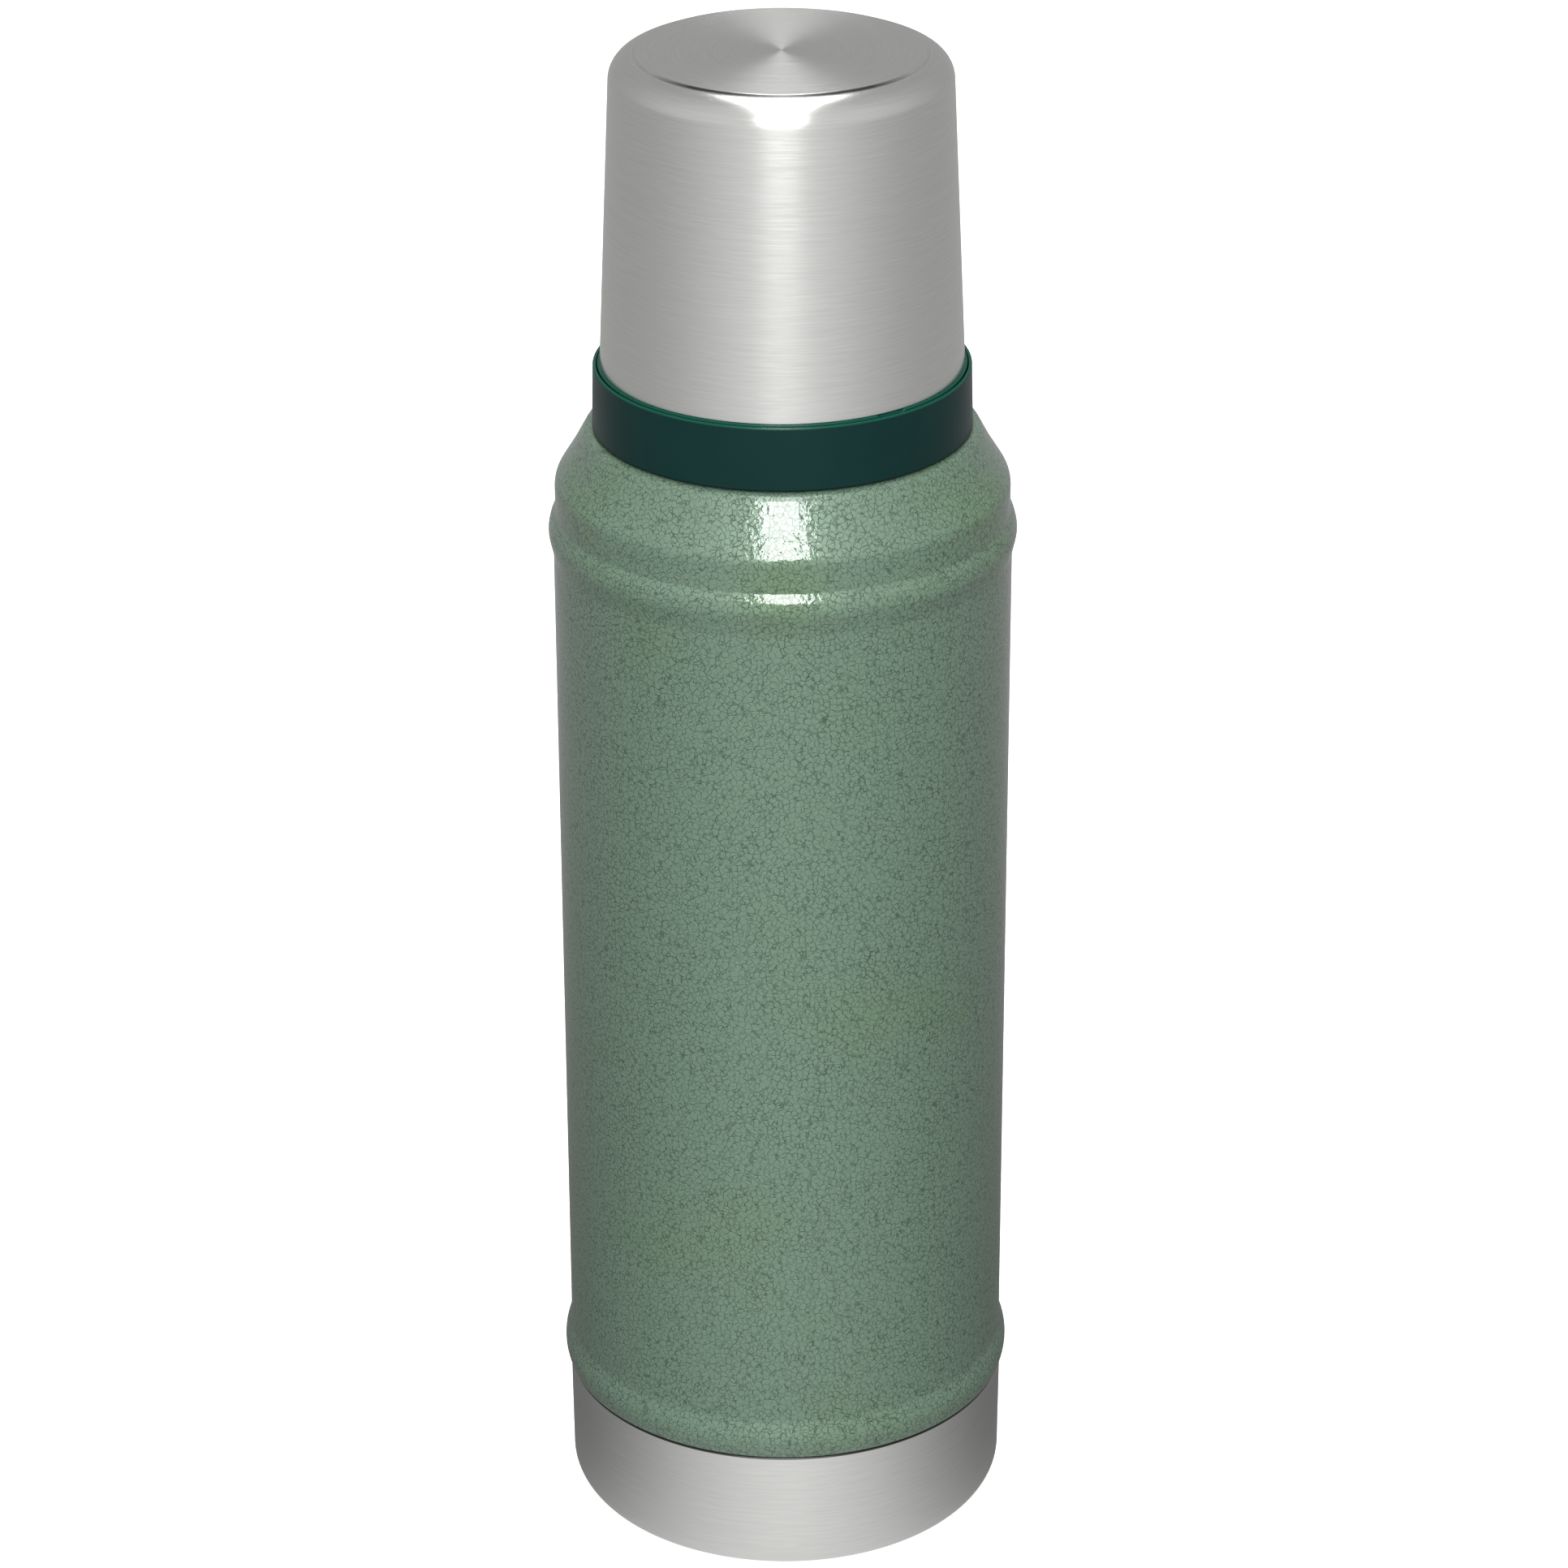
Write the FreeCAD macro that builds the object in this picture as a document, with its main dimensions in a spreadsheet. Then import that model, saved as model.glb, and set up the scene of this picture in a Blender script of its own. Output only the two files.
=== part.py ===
# Vacuum flask with a screw stopper and a screw-on drinking cup, as a parametric document.
# Millimetres, +Z up. The origin is the centre of the base, on the surface that the flask stands on.
import FreeCAD, Part
import math
import os
from types import SimpleNamespace

import Sketcher

DRIVING_SIZES = {
    # Sheet metal and the outer shell, from the bottom up
    "steel_wall": 0.5,
    "body_radius": 44.4,
    "base_height": 27.0,
    "base_flare": 0.25,
    "base_corner": 4.9,
    "foot_width": 4.7,
    "foot_recess": 1.2,
    "foot_round": 1.0,
    "seam_gap": 0.45,
    "lower_bead_height": 8.05,
    "lower_bead_rise": 1.7,
    "lower_bead_edge": 0.6,
    "lower_bead_middle": 3.2,
    "lower_bead_round": 7.0,
    "lower_bead_blend": 4.0,
    "body_length": 171.5,
    "upper_bead_height": 9.2,
    "upper_bead_rise": 1.05,
    "upper_bead_round": 6.0,
    "upper_bead_blend": 3.0,
    "crown_step": 0.45,
    "crown_height": 5.2,
    "crown_round": 5.0,
    "shoulder_height": 11.1,
    "shoulder_bend": 0.464,
    "shoulder_round": 12.0,
    "shoulder_land": 1.2,
    "land_round": 2.0,
    "neck_round": 1.0,
    "neck_length": 17.5,
    # Vacuum jacket and the inner vessel
    "skirt_fit": 0.05,
    "jacket_gap": 3.4,
    "jacket_floor": 7.5,
    "pan_flange": 1.5,
    "pan_round": 1.0,
    "floor_gap": 3.0,
    "floor_flange": 4.5,
    "floor_round": 2.5,
    "bore_radius": 23.5,
    "neck_gap": 1.5,
    "seat_step": 3.0,
    "seat_depth": 21.7,
    "seat_height": 4.0,
    "throat_height": 4.5,
    "throat_round": 3.0,
    "vessel_slope": 7.5,
    "vessel_round": 7.0,
    "foil_thickness": 0.15,
    "foil_margin": 7.0,
    "exhaust_radius": 2.0,
    "exhaust_head": 3.5,
    "getter_radius": 4.0,
    "getter_thickness": 2.0,
    "getter_offset": 22.0,
    "strip_thickness": 0.4,
    "strip_width": 5.0,
    "pad_radius": 32.0,
    "pad_hole": 5.0,
    # Neck collar
    "collar_lift": 0.3,
    "rim_height": 12.4,
    "rim_wall": 0.7,
    "rim_taper": 0.3,
    "rim_gap": 0.2,
    "web_top": 5.7,
    "web_thickness": 2.3,
    "web_round": 0.6,
    "skirt_wall": 1.1,
    "seal_rib": 1.0,
    "spigot_fit": 0.1,
    "spigot_wall": 2.5,
    "spigot_height": 16.1,
    "collar_seal_width": 4.5,
    "collar_seal_thickness": 0.8,
    # Fits and roundings of the moulded pieces
    "slip_fit": 0.1,
    "seal_play": 0.3,
    "mould_round": 0.4,
    "fine_round": 0.2,
    # Threads
    "thread_gap": 0.3,
    "thread_root_embed": 0.2,
    "cup_lead": 8.0,
    "cup_thread_start": 1.8,
    "cup_thread_depth": 1.0,
    "cup_thread_root": 1.6,
    "cup_thread_crest": 0.8,
    "cup_thread_rise": 6.4,
    "ring_thread_rise": 4.6,
    "stopper_lead": 5.0,
    "stopper_thread_start": 2.4,
    "stopper_thread_depth": 1.1,
    "stopper_thread_root": 2.2,
    "stopper_thread_crest": 1.0,
    "stopper_thread_rise": 16.5,
    "neck_thread_rise": 13.5,
    # Drinking cup, measured from its mouth
    "cup_seat": 13.0,
    "cup_height": 60.9,
    "cup_draft": 2.7,
    "cup_corner": 5.0,
    "cup_disc_radius": 27.3,
    "cup_disc_step": 0.3,
    "lip_reach": 0.45,
    "lip_thickness": 1.2,
    "ring_depth": 4.6,
    "ring_boss": 4.35,
    "ring_boss_height": 6.0,
    "ring_boss_draft": 0.3,
    "ring_wall": 2.1,
    "ring_rim": 0.8,
    "ring_rim_height": 3.0,
    "ring_rim_step": 0.5,
    "liner_drop": 2.5,
    "liner_draft": 1.75,
    "liner_round": 5.5,
    "liner_gap": 0.2,
    "cup_seal_thickness": 1.5,
    "shelf_thickness": 1.5,
    "shelf_inset": 0.8,
    "notch_width": 6.0,
    "notch_depth": 0.5,
    "notch_angle": -55.0,
    # Stopper, measured from the lip of the neck
    "plug_wall": 3.1,
    "plug_foot_wall": 2.0,
    "plug_foot_slack": 0.7,
    "plug_floor": 1.0,
    "lower_seal_height": 2.0,
    "lower_seal_drop": 0.7,
    "lower_seal_gap": 0.42,
    "cap_thickness": 3.0,
    "cap_lip": 0.3,
    "cap_round": 1.0,
    "flange_thickness": 2.0,
    "flange_inset": 0.1,
    "upper_seal_thickness": 1.2,
    "knob_height": 14.3,
    "knob_draft": 0.8,
    "knob_wall": 2.2,
    "knob_corner": 2.5,
    "knob_inset": 0.5,
    "boss_height": 2.0,
    "boss_gap": 0.3,
    "grip_radius": 4.0,
    "grip_depth": 1.2,
    "channel_width": 8.0,
    "channel_depth": 1.5,
}
GRIP_COUNT = 16
CHANNEL_COUNT = 4
CUP_THREAD_STARTS = 2


class Size:
    """A length that holds its number and the spreadsheet expression that gives it."""

    def __init__(self, text, number):
        self.text = text
        self.number = number

    def join(self, sign, other, number):
        return Size(f"({self.text} {sign} {other.text})", number)

    def __add__(self, other):
        other = as_size(other)
        return self.join("+", other, self.number + other.number)

    def __sub__(self, other):
        other = as_size(other)
        return self.join("-", other, self.number - other.number)

    def __mul__(self, other):
        other = as_size(other)
        return self.join("*", other, self.number * other.number)

    def __truediv__(self, other):
        other = as_size(other)
        return self.join("/", other, self.number / other.number)

    def __radd__(self, other):
        return as_size(other) + self

    def __rsub__(self, other):
        return as_size(other) - self

    def __rmul__(self, other):
        return as_size(other) * self

    def __neg__(self):
        return as_size(0) - self


def as_size(value):
    """A Size as it is, or a plain number made into one."""
    if isinstance(value, Size):
        return value
    return Size(str(float(value)), float(value))


def write_sheet():
    """Put each driving size in a spreadsheet cell with an alias, and return them by name."""
    sheet = doc.addObject("Spreadsheet::Sheet", "Sizes")
    for row, (name, number) in enumerate(DRIVING_SIZES.items(), start=1):
        sheet.set(f"A{row}", name)
        sheet.set(f"B{row}", str(number))
        sheet.setAlias(f"B{row}", name)
    doc.recompute()
    return SimpleNamespace(**{name: Size(f"Sizes.{name}", float(getattr(sheet, name)))
                              for name in DRIVING_SIZES})


def origin_plane(body, role):
    """The body's own origin plane with this role."""
    return next(item for item in body.Origin.OriginFeatures if item.Role == role)


def new_body(label, height=None):
    """An empty body named label, its own origin at this height above the base."""
    body = doc.addObject("PartDesign::Body", label)
    body.Label = label
    if height is not None:
        body.setExpression("Placement.Base.z", height.text)
    return body


def new_sketch(body, name, role):
    sketch = body.newObject("Sketcher::SketchObject", f"{body.Label}_{name}")
    sketch.AttachmentSupport = [(origin_plane(body, role), "")]
    sketch.MapMode = "FlatFace"
    return sketch


def bind(sketch, rules):
    """Add constraints; each rule is a Constraint, or a pair of one and the Size that drives it."""
    for rule in rules:
        if isinstance(rule, Sketcher.Constraint):
            sketch.addConstraint(rule)
            continue
        constraint, size = rule
        index = sketch.addConstraint(constraint)
        sketch.setExpression(f"Constraints[{index}]", size.text)


def place_rules(geometry, position, across, up):
    """Rules that hold a sketch point at a place, with an exact zero tied to the axis."""
    rules = []
    for kind, axis, size in (("DistanceX", -2, across), ("DistanceY", -1, up)):
        if isinstance(size, Size):
            rules.append((Sketcher.Constraint(kind, -1, 1, geometry, position, size.number), size))
        else:
            rules.append(Sketcher.Constraint("PointOnObject", geometry, position, axis))
    return rules


def round_corner(before, corner, after, radius):
    """Centre of the arc that rounds a corner, and its two ends along the path."""
    back = (before - corner).normalize()
    ahead = (after - corner).normalize()
    half = back.getAngle(ahead) / 2
    reach = radius / math.tan(half)
    centre = corner + (back + ahead).normalize() * (radius / math.sin(half))
    return centre, corner + back * reach, corner + ahead * reach


def arc_between(centre, start, end, turns_left):
    """Arc from start to end about centre, with the sketch's end numbers in path order."""
    if not turns_left:
        start, end = end, start
    first = math.atan2(start.y - centre.y, start.x - centre.x)
    last = math.atan2(end.y - centre.y, end.x - centre.x)
    if last < first:
        last += 2 * math.pi
    circle = Part.Circle(centre, FreeCAD.Vector(0, 0, 1), (start - centre).Length)
    ends = (1, 2) if turns_left else (2, 1)
    return Part.ArcOfCircle(circle, first, last), ends


def draw_outline(sketch, corners):
    """Closed outline through corners, each (across, up) or (across, up, fillet radius)."""
    count = len(corners)
    points = [FreeCAD.Vector(as_size(c[0]).number, as_size(c[1]).number, 0) for c in corners]
    leave = list(points)
    arrive = list(points)
    arcs = {}
    for i, corner in enumerate(corners):
        if len(corner) == 3:
            before = points[i - 1]
            after = points[(i + 1) % count]
            radius = as_size(corner[2])
            centre, arrive[i], leave[i] = round_corner(before, points[i], after, radius.number)
            turns_left = (points[i] - before).cross(after - points[i]).z > 0
            arcs[i] = arc_between(centre, arrive[i], leave[i], turns_left), radius
    for i in range(count):
        sketch.addGeometry(Part.LineSegment(leave[i], arrive[(i + 1) % count]), False)
    rules = []
    for i, corner in enumerate(corners):
        previous = (i - 1) % count
        if i not in arcs:
            rules.append(Sketcher.Constraint("Coincident", previous, 2, i, 1))
            rules += place_rules(i, 1, corner[0], corner[1])
            continue
        (arc, ends), radius = arcs[i]
        bend = sketch.addGeometry(arc, False)
        apex = sketch.addGeometry(Part.Point(points[i]), True)
        rules += place_rules(apex, 1, corner[0], corner[1])
        rules.append(Sketcher.Constraint("PointOnObject", apex, 1, previous))
        rules.append(Sketcher.Constraint("PointOnObject", apex, 1, i))
        rules.append(Sketcher.Constraint("Tangent", previous, 2, bend, ends[0]))
        rules.append(Sketcher.Constraint("Tangent", bend, ends[1], i, 1))
        rules.append((Sketcher.Constraint("Radius", bend, radius.number), radius))
    bind(sketch, rules)


def turned(label, corners, height=None):
    """A round piece: its outline (radius, height, fillet) turned about the flask's axis."""
    body = new_body(label, height)
    sketch = new_sketch(body, "outline", "XZ_Plane")
    draw_outline(sketch, corners)
    turn = body.newObject("PartDesign::Revolution", f"{label}_turn")
    turn.Profile = sketch
    turn.ReferenceAxis = (sketch, ["V_Axis"])
    turn.Angle = 360
    return body


def repeat_round(body, feature, sketch, axis, count):
    """Repeat a feature evenly round the flask's axis."""
    pattern = body.newObject("PartDesign::PolarPattern", f"{feature.Name}_round")
    pattern.Originals = [feature]
    pattern.Axis = (sketch, [axis])
    pattern.Angle = 360
    pattern.Occurrences = count
    body.Tip = pattern


def add_thread(body, wall, crest, foot, rise, lead, root_width, crest_width, starts=1):
    """A right-hand ridge on a round wall; wall and crest are radii, foot the ridge's first height."""
    inward = 1 if wall.number > crest.number else -1
    root = wall + inward * size.thread_root_embed
    sketch = new_sketch(body, "thread", "XZ_Plane")
    draw_outline(sketch, [
        (root, foot - root_width / 2),
        (crest, foot - crest_width / 2),
        (crest, foot + crest_width / 2),
        (root, foot + root_width / 2),
    ])
    ridge = body.newObject("PartDesign::AdditiveHelix", f"{body.Label}_ridge")
    ridge.Profile = sketch
    ridge.ReferenceAxis = (sketch, ["V_Axis"])
    ridge.Mode = "pitch-height-angle"
    ridge.setExpression("Pitch", lead.text)
    ridge.setExpression("Height", rise.text)
    ridge.LeftHanded = False
    if starts > 1:
        doc.recompute()
        repeat_round(body, ridge, sketch, "V_Axis", starts)


def cut_round(body, sketch, name, depth, count):
    """Pocket a sketch downward by depth, or right through, repeated round the axis."""
    pocket = body.newObject("PartDesign::Pocket", f"{body.Label}_{name}")
    pocket.Profile = sketch
    if depth is None:
        pocket.Type = "ThroughAll"
        pocket.Midplane = True
    else:
        pocket.Type = "Length"
        pocket.setExpression("Length", depth.text)
    if count > 1:
        doc.recompute()
        repeat_round(body, pocket, sketch, "N_Axis", count)


def upper_bead(inset):
    """Corners of the rolled bead under the crown, from foot to top, moved in by inset."""
    middle = (upper_bead_foot + upper_bead_top) / 2
    return [
        (size.body_radius - inset, upper_bead_foot, size.upper_bead_blend + inset),
        (size.body_radius + size.upper_bead_rise - inset, middle, size.upper_bead_round - inset),
        (crown_radius - inset, upper_bead_top, size.upper_bead_blend + inset),
    ]


def outer_shell():
    """Painted shell up to the crown: skirt, lower bead, body and upper bead."""
    wall = size.steel_wall
    foot_edge = size.body_radius + size.lower_bead_edge
    bead_crest = size.body_radius + size.lower_bead_rise
    bead_middle = lower_bead_foot + size.lower_bead_middle
    outside = [
        (skirt_radius, skirt_foot),
        (skirt_radius, lower_bead_foot),
        (foot_edge, lower_bead_foot),
        (bead_crest, bead_middle, size.lower_bead_round),
        (size.body_radius, lower_bead_top, size.lower_bead_blend),
        *upper_bead(0),
        (crown_radius, crown_joint),
    ]
    inside = [
        (crown_radius - wall, crown_joint),
        *reversed(upper_bead(wall)),
        (size.body_radius - wall, lower_bead_top, size.lower_bead_blend + wall),
        (bead_crest - wall, bead_middle, size.lower_bead_round - wall),
        (foot_edge - wall, lower_bead_foot + wall),
        (skirt_radius - wall, lower_bead_foot + wall),
        (skirt_radius - wall, skirt_foot),
    ]
    turned("outer_shell", outside + inside)


def outer_shoulder():
    """Painted shoulder, welded on at the crown: shoulder, land and neck."""
    wall = size.steel_wall
    outside = [
        (crown_radius, crown_joint),
        (crown_radius, crown_top, size.crown_round),
        (bend_radius, bend_height, size.shoulder_round),
        (land_radius, land_height, size.land_round),
        (neck_radius, land_height, size.neck_round),
        (neck_radius, lip_height - wall),
    ]
    inside = [
        (neck_radius - wall, lip_height - wall),
        (neck_radius - wall, land_height - wall, size.neck_round + wall),
        (land_radius - wall / 2, land_height - wall, size.land_round - wall),
        (bend_radius - wall, bend_height, size.shoulder_round - wall),
        (crown_radius - wall, crown_top, size.crown_round - wall),
        (crown_radius - wall, crown_joint),
    ]
    turned("outer_shoulder", outside + inside)


def base_cup():
    """Brushed cup over the bottom of the shell, standing on a narrow ring round a recess."""
    wall = size.steel_wall
    foot_inner = size.body_radius - size.base_corner - size.foot_width
    turned("base_cup", [
        (0, size.foot_recess),
        (foot_inner - size.foot_recess, size.foot_recess, size.foot_round),
        (foot_inner, 0, size.foot_round),
        (size.body_radius, 0, size.base_corner),
        (size.body_radius + size.base_flare, size.base_height),
        (size.body_radius + size.base_flare - wall, size.base_height),
        (size.body_radius - wall, wall, size.base_corner - wall),
        (foot_inner + wall / 2, wall, size.foot_round),
        (foot_inner - size.foot_recess + wall / 2, size.foot_recess + wall, size.foot_round),
        (0, size.foot_recess + wall),
    ])


def base_pad():
    """Foam ring between the base cup and the jacket's floor, open round the exhaust plug."""
    pad_foot = size.foot_recess + size.steel_wall
    pad_top = size.jacket_floor - size.steel_wall
    turned("base_pad", [
        (size.pad_hole, pad_foot),
        (size.pad_radius, pad_foot),
        (size.pad_radius, pad_top),
        (size.pad_hole, pad_top),
    ])


def outer_bottom():
    """Floor of the vacuum jacket, a pan with its flange down inside the skirt."""
    wall = size.steel_wall
    rim = skirt_radius - wall
    turned("outer_bottom", [
        (size.exhaust_radius, size.jacket_floor),
        (rim, size.jacket_floor, size.pan_round),
        (rim, skirt_foot),
        (rim - wall, skirt_foot),
        (rim - wall, size.jacket_floor - wall, size.pan_round - wall),
        (size.exhaust_radius, size.jacket_floor - wall),
    ])


def exhaust_seal():
    """Soldered plug in the hole where the jacket was pumped out."""
    wall = size.steel_wall
    turned("exhaust_seal", [
        (0, size.jacket_floor),
        (size.exhaust_radius, size.jacket_floor),
        (size.exhaust_radius, size.jacket_floor - wall),
        (size.exhaust_head, size.jacket_floor - wall),
        (size.exhaust_head, skirt_foot, size.mould_round),
        (0, skirt_foot),
    ])


def inner_vessel():
    """Straight wall of the inner vessel."""
    turned("inner_vessel", [
        (vessel_radius, vessel_foot),
        (vessel_radius, vessel_joint),
        (vessel_radius - size.steel_wall, vessel_joint),
        (vessel_radius - size.steel_wall, vessel_foot),
    ])


def inner_neck():
    """Top of the inner vessel: shoulder, narrow throat, conical seat and threaded neck with its lip."""
    wall = size.steel_wall
    outer = vessel_radius
    throat = seat_radius + wall
    body = turned("inner_neck", [
        (outer, vessel_joint),
        (outer, vessel_shoulder, size.vessel_round),
        (throat, throat_foot, size.throat_round),
        (throat, seat_foot),
        (size.bore_radius + wall, seat_top),
        (size.bore_radius + wall, lip_height - wall),
        (neck_radius, lip_height - wall),
        (neck_radius, lip_height),
        (size.bore_radius, lip_height, size.mould_round),
        (size.bore_radius, seat_top + wall / 2),
        (seat_radius, seat_foot + wall / 2),
        (seat_radius, throat_foot - wall, size.throat_round + wall),
        (outer - wall, vessel_shoulder - wall, size.vessel_round - wall),
        (outer - wall, vessel_joint),
    ])
    crest = plug_radius + size.thread_gap
    add_thread(body, size.bore_radius, crest, neck_thread_foot, size.neck_thread_rise,
               size.stopper_lead, size.stopper_thread_root, size.stopper_thread_crest)


def inner_bottom():
    """Floor of the inner vessel, a pan with its flange down inside the wall."""
    wall = size.steel_wall
    rim = vessel_radius - wall
    turned("inner_bottom", [
        (0, vessel_floor),
        (rim - wall, vessel_floor, size.floor_round - wall),
        (rim - wall, vessel_foot),
        (rim, vessel_foot),
        (rim, vessel_floor + wall, size.floor_round),
        (0, vessel_floor + wall),
    ])


def radiation_foil():
    """Reflecting foil wrapped round the inner vessel's straight wall."""
    turned("radiation_foil", [
        (vessel_radius, vessel_foot),
        (vessel_radius + size.foil_thickness, vessel_foot),
        (vessel_radius + size.foil_thickness, foil_top),
        (vessel_radius, foil_top),
    ])


def getter():
    """Tablet that takes up stray gas, held against the floor of the inner vessel."""
    body = turned("getter", [
        (0, vessel_floor - size.getter_thickness),
        (size.getter_radius, vessel_floor - size.getter_thickness, size.mould_round),
        (size.getter_radius, vessel_floor),
        (0, vessel_floor),
    ])
    body.setExpression("Placement.Base.x", size.getter_offset.text)


def getter_clip():
    """Bent strip, spot-welded by its two feet, that holds the getter."""
    strip = size.strip_thickness
    inside = size.getter_radius
    outside = inside + strip
    foot = outside + size.strip_width / 2
    low = vessel_floor - size.getter_thickness
    body = new_body("getter_clip")
    body.setExpression("Placement.Base.x", size.getter_offset.text)
    sketch = new_sketch(body, "outline", "XZ_Plane")
    draw_outline(sketch, [
        (-foot, vessel_floor),
        (-foot, vessel_floor - strip),
        (-outside, vessel_floor - strip),
        (-outside, low - strip),
        (outside, low - strip),
        (outside, vessel_floor - strip),
        (foot, vessel_floor - strip),
        (foot, vessel_floor),
        (inside, vessel_floor),
        (inside, low),
        (-inside, low),
        (-inside, vessel_floor),
    ])
    strip_pad = body.newObject("PartDesign::Pad", "getter_clip_pad")
    strip_pad.Profile = sketch
    strip_pad.Midplane = True
    strip_pad.setExpression("Length", size.strip_width.text)


def neck_collar():
    """Collar on the neck: a rim round the cup's mouth, a web, and the spigot for the cup's thread."""
    rim_outer = rim_radius + size.rim_wall
    skirt_outer = rim_outer + size.rim_taper
    skirt_inner = skirt_outer - size.skirt_wall
    web_low = size.web_top - size.web_thickness
    seal_edge = spigot_bore + size.collar_seal_width
    lift = size.collar_lift
    body = turned("neck_collar", [
        (spigot_bore, size.collar_seal_thickness),
        (seal_edge, size.collar_seal_thickness),
        (seal_edge, lift),
        (seal_edge + size.seal_rib, lift),
        (seal_edge + size.seal_rib, web_low),
        (skirt_inner, web_low),
        (skirt_inner, lift, size.fine_round),
        (skirt_outer, lift, size.mould_round),
        (rim_outer, rim_top, size.mould_round),
        (rim_radius, rim_top, size.fine_round),
        (rim_radius, size.web_top, size.web_round),
        (spigot_radius, size.web_top, size.web_round),
        (spigot_radius, size.spigot_height, size.mould_round),
        (spigot_bore, size.spigot_height),
    ], land_height)
    add_thread(body, spigot_radius, spigot_radius + size.cup_thread_depth, spigot_thread_foot,
               size.cup_thread_rise, size.cup_lead, size.cup_thread_root, size.cup_thread_crest,
               CUP_THREAD_STARTS)


def collar_gasket():
    """Flat ring that seals the collar to the shell's land."""
    inner = spigot_bore + size.neck_round
    outer = spigot_bore + size.collar_seal_width - size.seal_play
    turned("collar_gasket", [
        (inner, 0),
        (outer, 0),
        (outer, size.collar_seal_thickness),
        (inner, size.collar_seal_thickness),
    ], land_height)


def cup_shell():
    """Outer wall of the cup, upside down: mouth at its own zero, flat disc on top."""
    wall = size.steel_wall
    top_radius = cup_mouth - size.cup_draft
    ledge = size.cup_height - size.cup_disc_step
    disc_edge = size.cup_disc_radius + size.cup_disc_step
    turned("cup_shell", [
        (cup_mouth, 0),
        (top_radius, ledge, size.cup_corner),
        (disc_edge, ledge),
        (size.cup_disc_radius, size.cup_height),
        (0, size.cup_height),
        (0, size.cup_height - wall),
        (size.cup_disc_radius - wall / 2, size.cup_height - wall),
        (disc_edge - wall / 2, ledge - wall),
        (top_radius - wall, ledge - wall, size.cup_corner - wall),
        (cup_mouth - wall, 0),
    ], cup_seat)


def cup_thread_ring():
    """Plastic ring in the cup's mouth: lip, boss inside the shell, thread wall and gasket shelf."""
    boss = cup_mouth - size.steel_wall - size.slip_fit
    rim = ring_radius + size.ring_rim
    shelf_low = cup_seal_foot + size.cup_seal_thickness
    shelf_top = shelf_low + size.shelf_thickness
    ring_top = size.ring_boss_height + size.ring_rim_height
    body = turned("cup_thread_ring", [
        (ring_radius, -size.ring_depth, size.mould_round),
        (ring_radius + size.ring_wall, -size.ring_depth, size.mould_round),
        (ring_radius + size.ring_wall, -size.lip_thickness),
        (lip_radius, -size.lip_thickness, size.mould_round),
        (lip_radius, 0, size.fine_round),
        (boss, 0),
        (boss - size.ring_boss_draft, size.ring_boss_height),
        (rim, size.ring_boss_height),
        (rim, ring_top),
        (ring_radius - size.ring_rim_step, ring_top),
        (ring_radius - size.ring_rim_step, shelf_top),
        (shelf_radius, shelf_top),
        (shelf_radius, shelf_low),
        (ring_radius, shelf_low),
    ], cup_seat)
    add_thread(body, ring_radius, spigot_radius + size.thread_gap, ring_thread_foot,
               size.ring_thread_rise, size.cup_lead, size.cup_thread_root, size.cup_thread_crest,
               CUP_THREAD_STARTS)
    notch = new_sketch(body, "notch", "XY_Plane")
    notch.setExpression("AttachmentOffset.Rotation.Angle", size.notch_angle.text)
    half_width = size.notch_width / 2
    draw_outline(notch, [
        (cup_mouth, -half_width),
        (rim_radius, -half_width),
        (rim_radius, half_width),
        (cup_mouth, half_width),
    ])
    doc.recompute()
    cut_round(body, notch, "notch", size.notch_depth, 1)


def cup_liner():
    """Inner wall of the cup, standing on the thread ring."""
    wall = size.steel_wall
    mouth = ring_radius + size.ring_rim + size.liner_gap
    top_radius = mouth - size.liner_draft
    top = size.cup_height - size.liner_drop
    turned("cup_liner", [
        (mouth, size.ring_boss_height),
        (mouth + wall, size.ring_boss_height),
        (top_radius + wall, top, size.liner_round),
        (0, top),
        (0, top - wall),
        (top_radius, top - wall, size.liner_round - wall),
    ], cup_seat)


def cup_gasket():
    """Soft ring under the cup's shelf, on top of the collar's spigot."""
    inner = shelf_radius + size.slip_fit
    outer = ring_radius - size.seal_play
    turned("cup_gasket", [
        (inner, cup_seal_foot),
        (outer, cup_seal_foot),
        (outer, cup_seal_foot + size.cup_seal_thickness),
        (inner, cup_seal_foot + size.cup_seal_thickness),
    ], cup_seat)


def stopper_body():
    """Hollow plug with its thread, four pouring channels, and a flange over the lip."""
    cavity = plug_radius - size.plug_wall
    boss = knob_bore - size.boss_gap
    boss_top = flange_top + size.boss_height
    body = turned("stopper_body", [
        (plug_foot_radius - size.plug_foot_wall, plug_foot),
        (plug_foot_radius, plug_foot),
        (plug_foot_radius, seal_top),
        (plug_radius, seal_top, size.mould_round),
        (plug_radius, size.upper_seal_thickness),
        (flange_radius, size.upper_seal_thickness, size.mould_round),
        (flange_radius, flange_top, size.mould_round),
        (boss, flange_top),
        (boss, boss_top, size.mould_round),
        (cavity, boss_top),
        (cavity, plug_floor_top),
        (plug_foot_radius - size.plug_foot_wall, plug_floor_top),
    ], lip_height)
    add_thread(body, plug_radius, plug_radius + size.stopper_thread_depth, stopper_thread_foot,
               size.stopper_thread_rise, size.stopper_lead, size.stopper_thread_root,
               size.stopper_thread_crest)
    channels = new_sketch(body, "channel", "XY_Plane")
    inner = plug_radius - size.channel_depth
    outer = size.bore_radius + size.stopper_thread_depth
    half_width = size.channel_width / 2
    draw_outline(channels, [
        (inner, -half_width),
        (outer, -half_width),
        (outer, half_width),
        (inner, half_width),
    ])
    doc.recompute()
    cut_round(body, channels, "channels", -seal_top, CHANNEL_COUNT)


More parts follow.
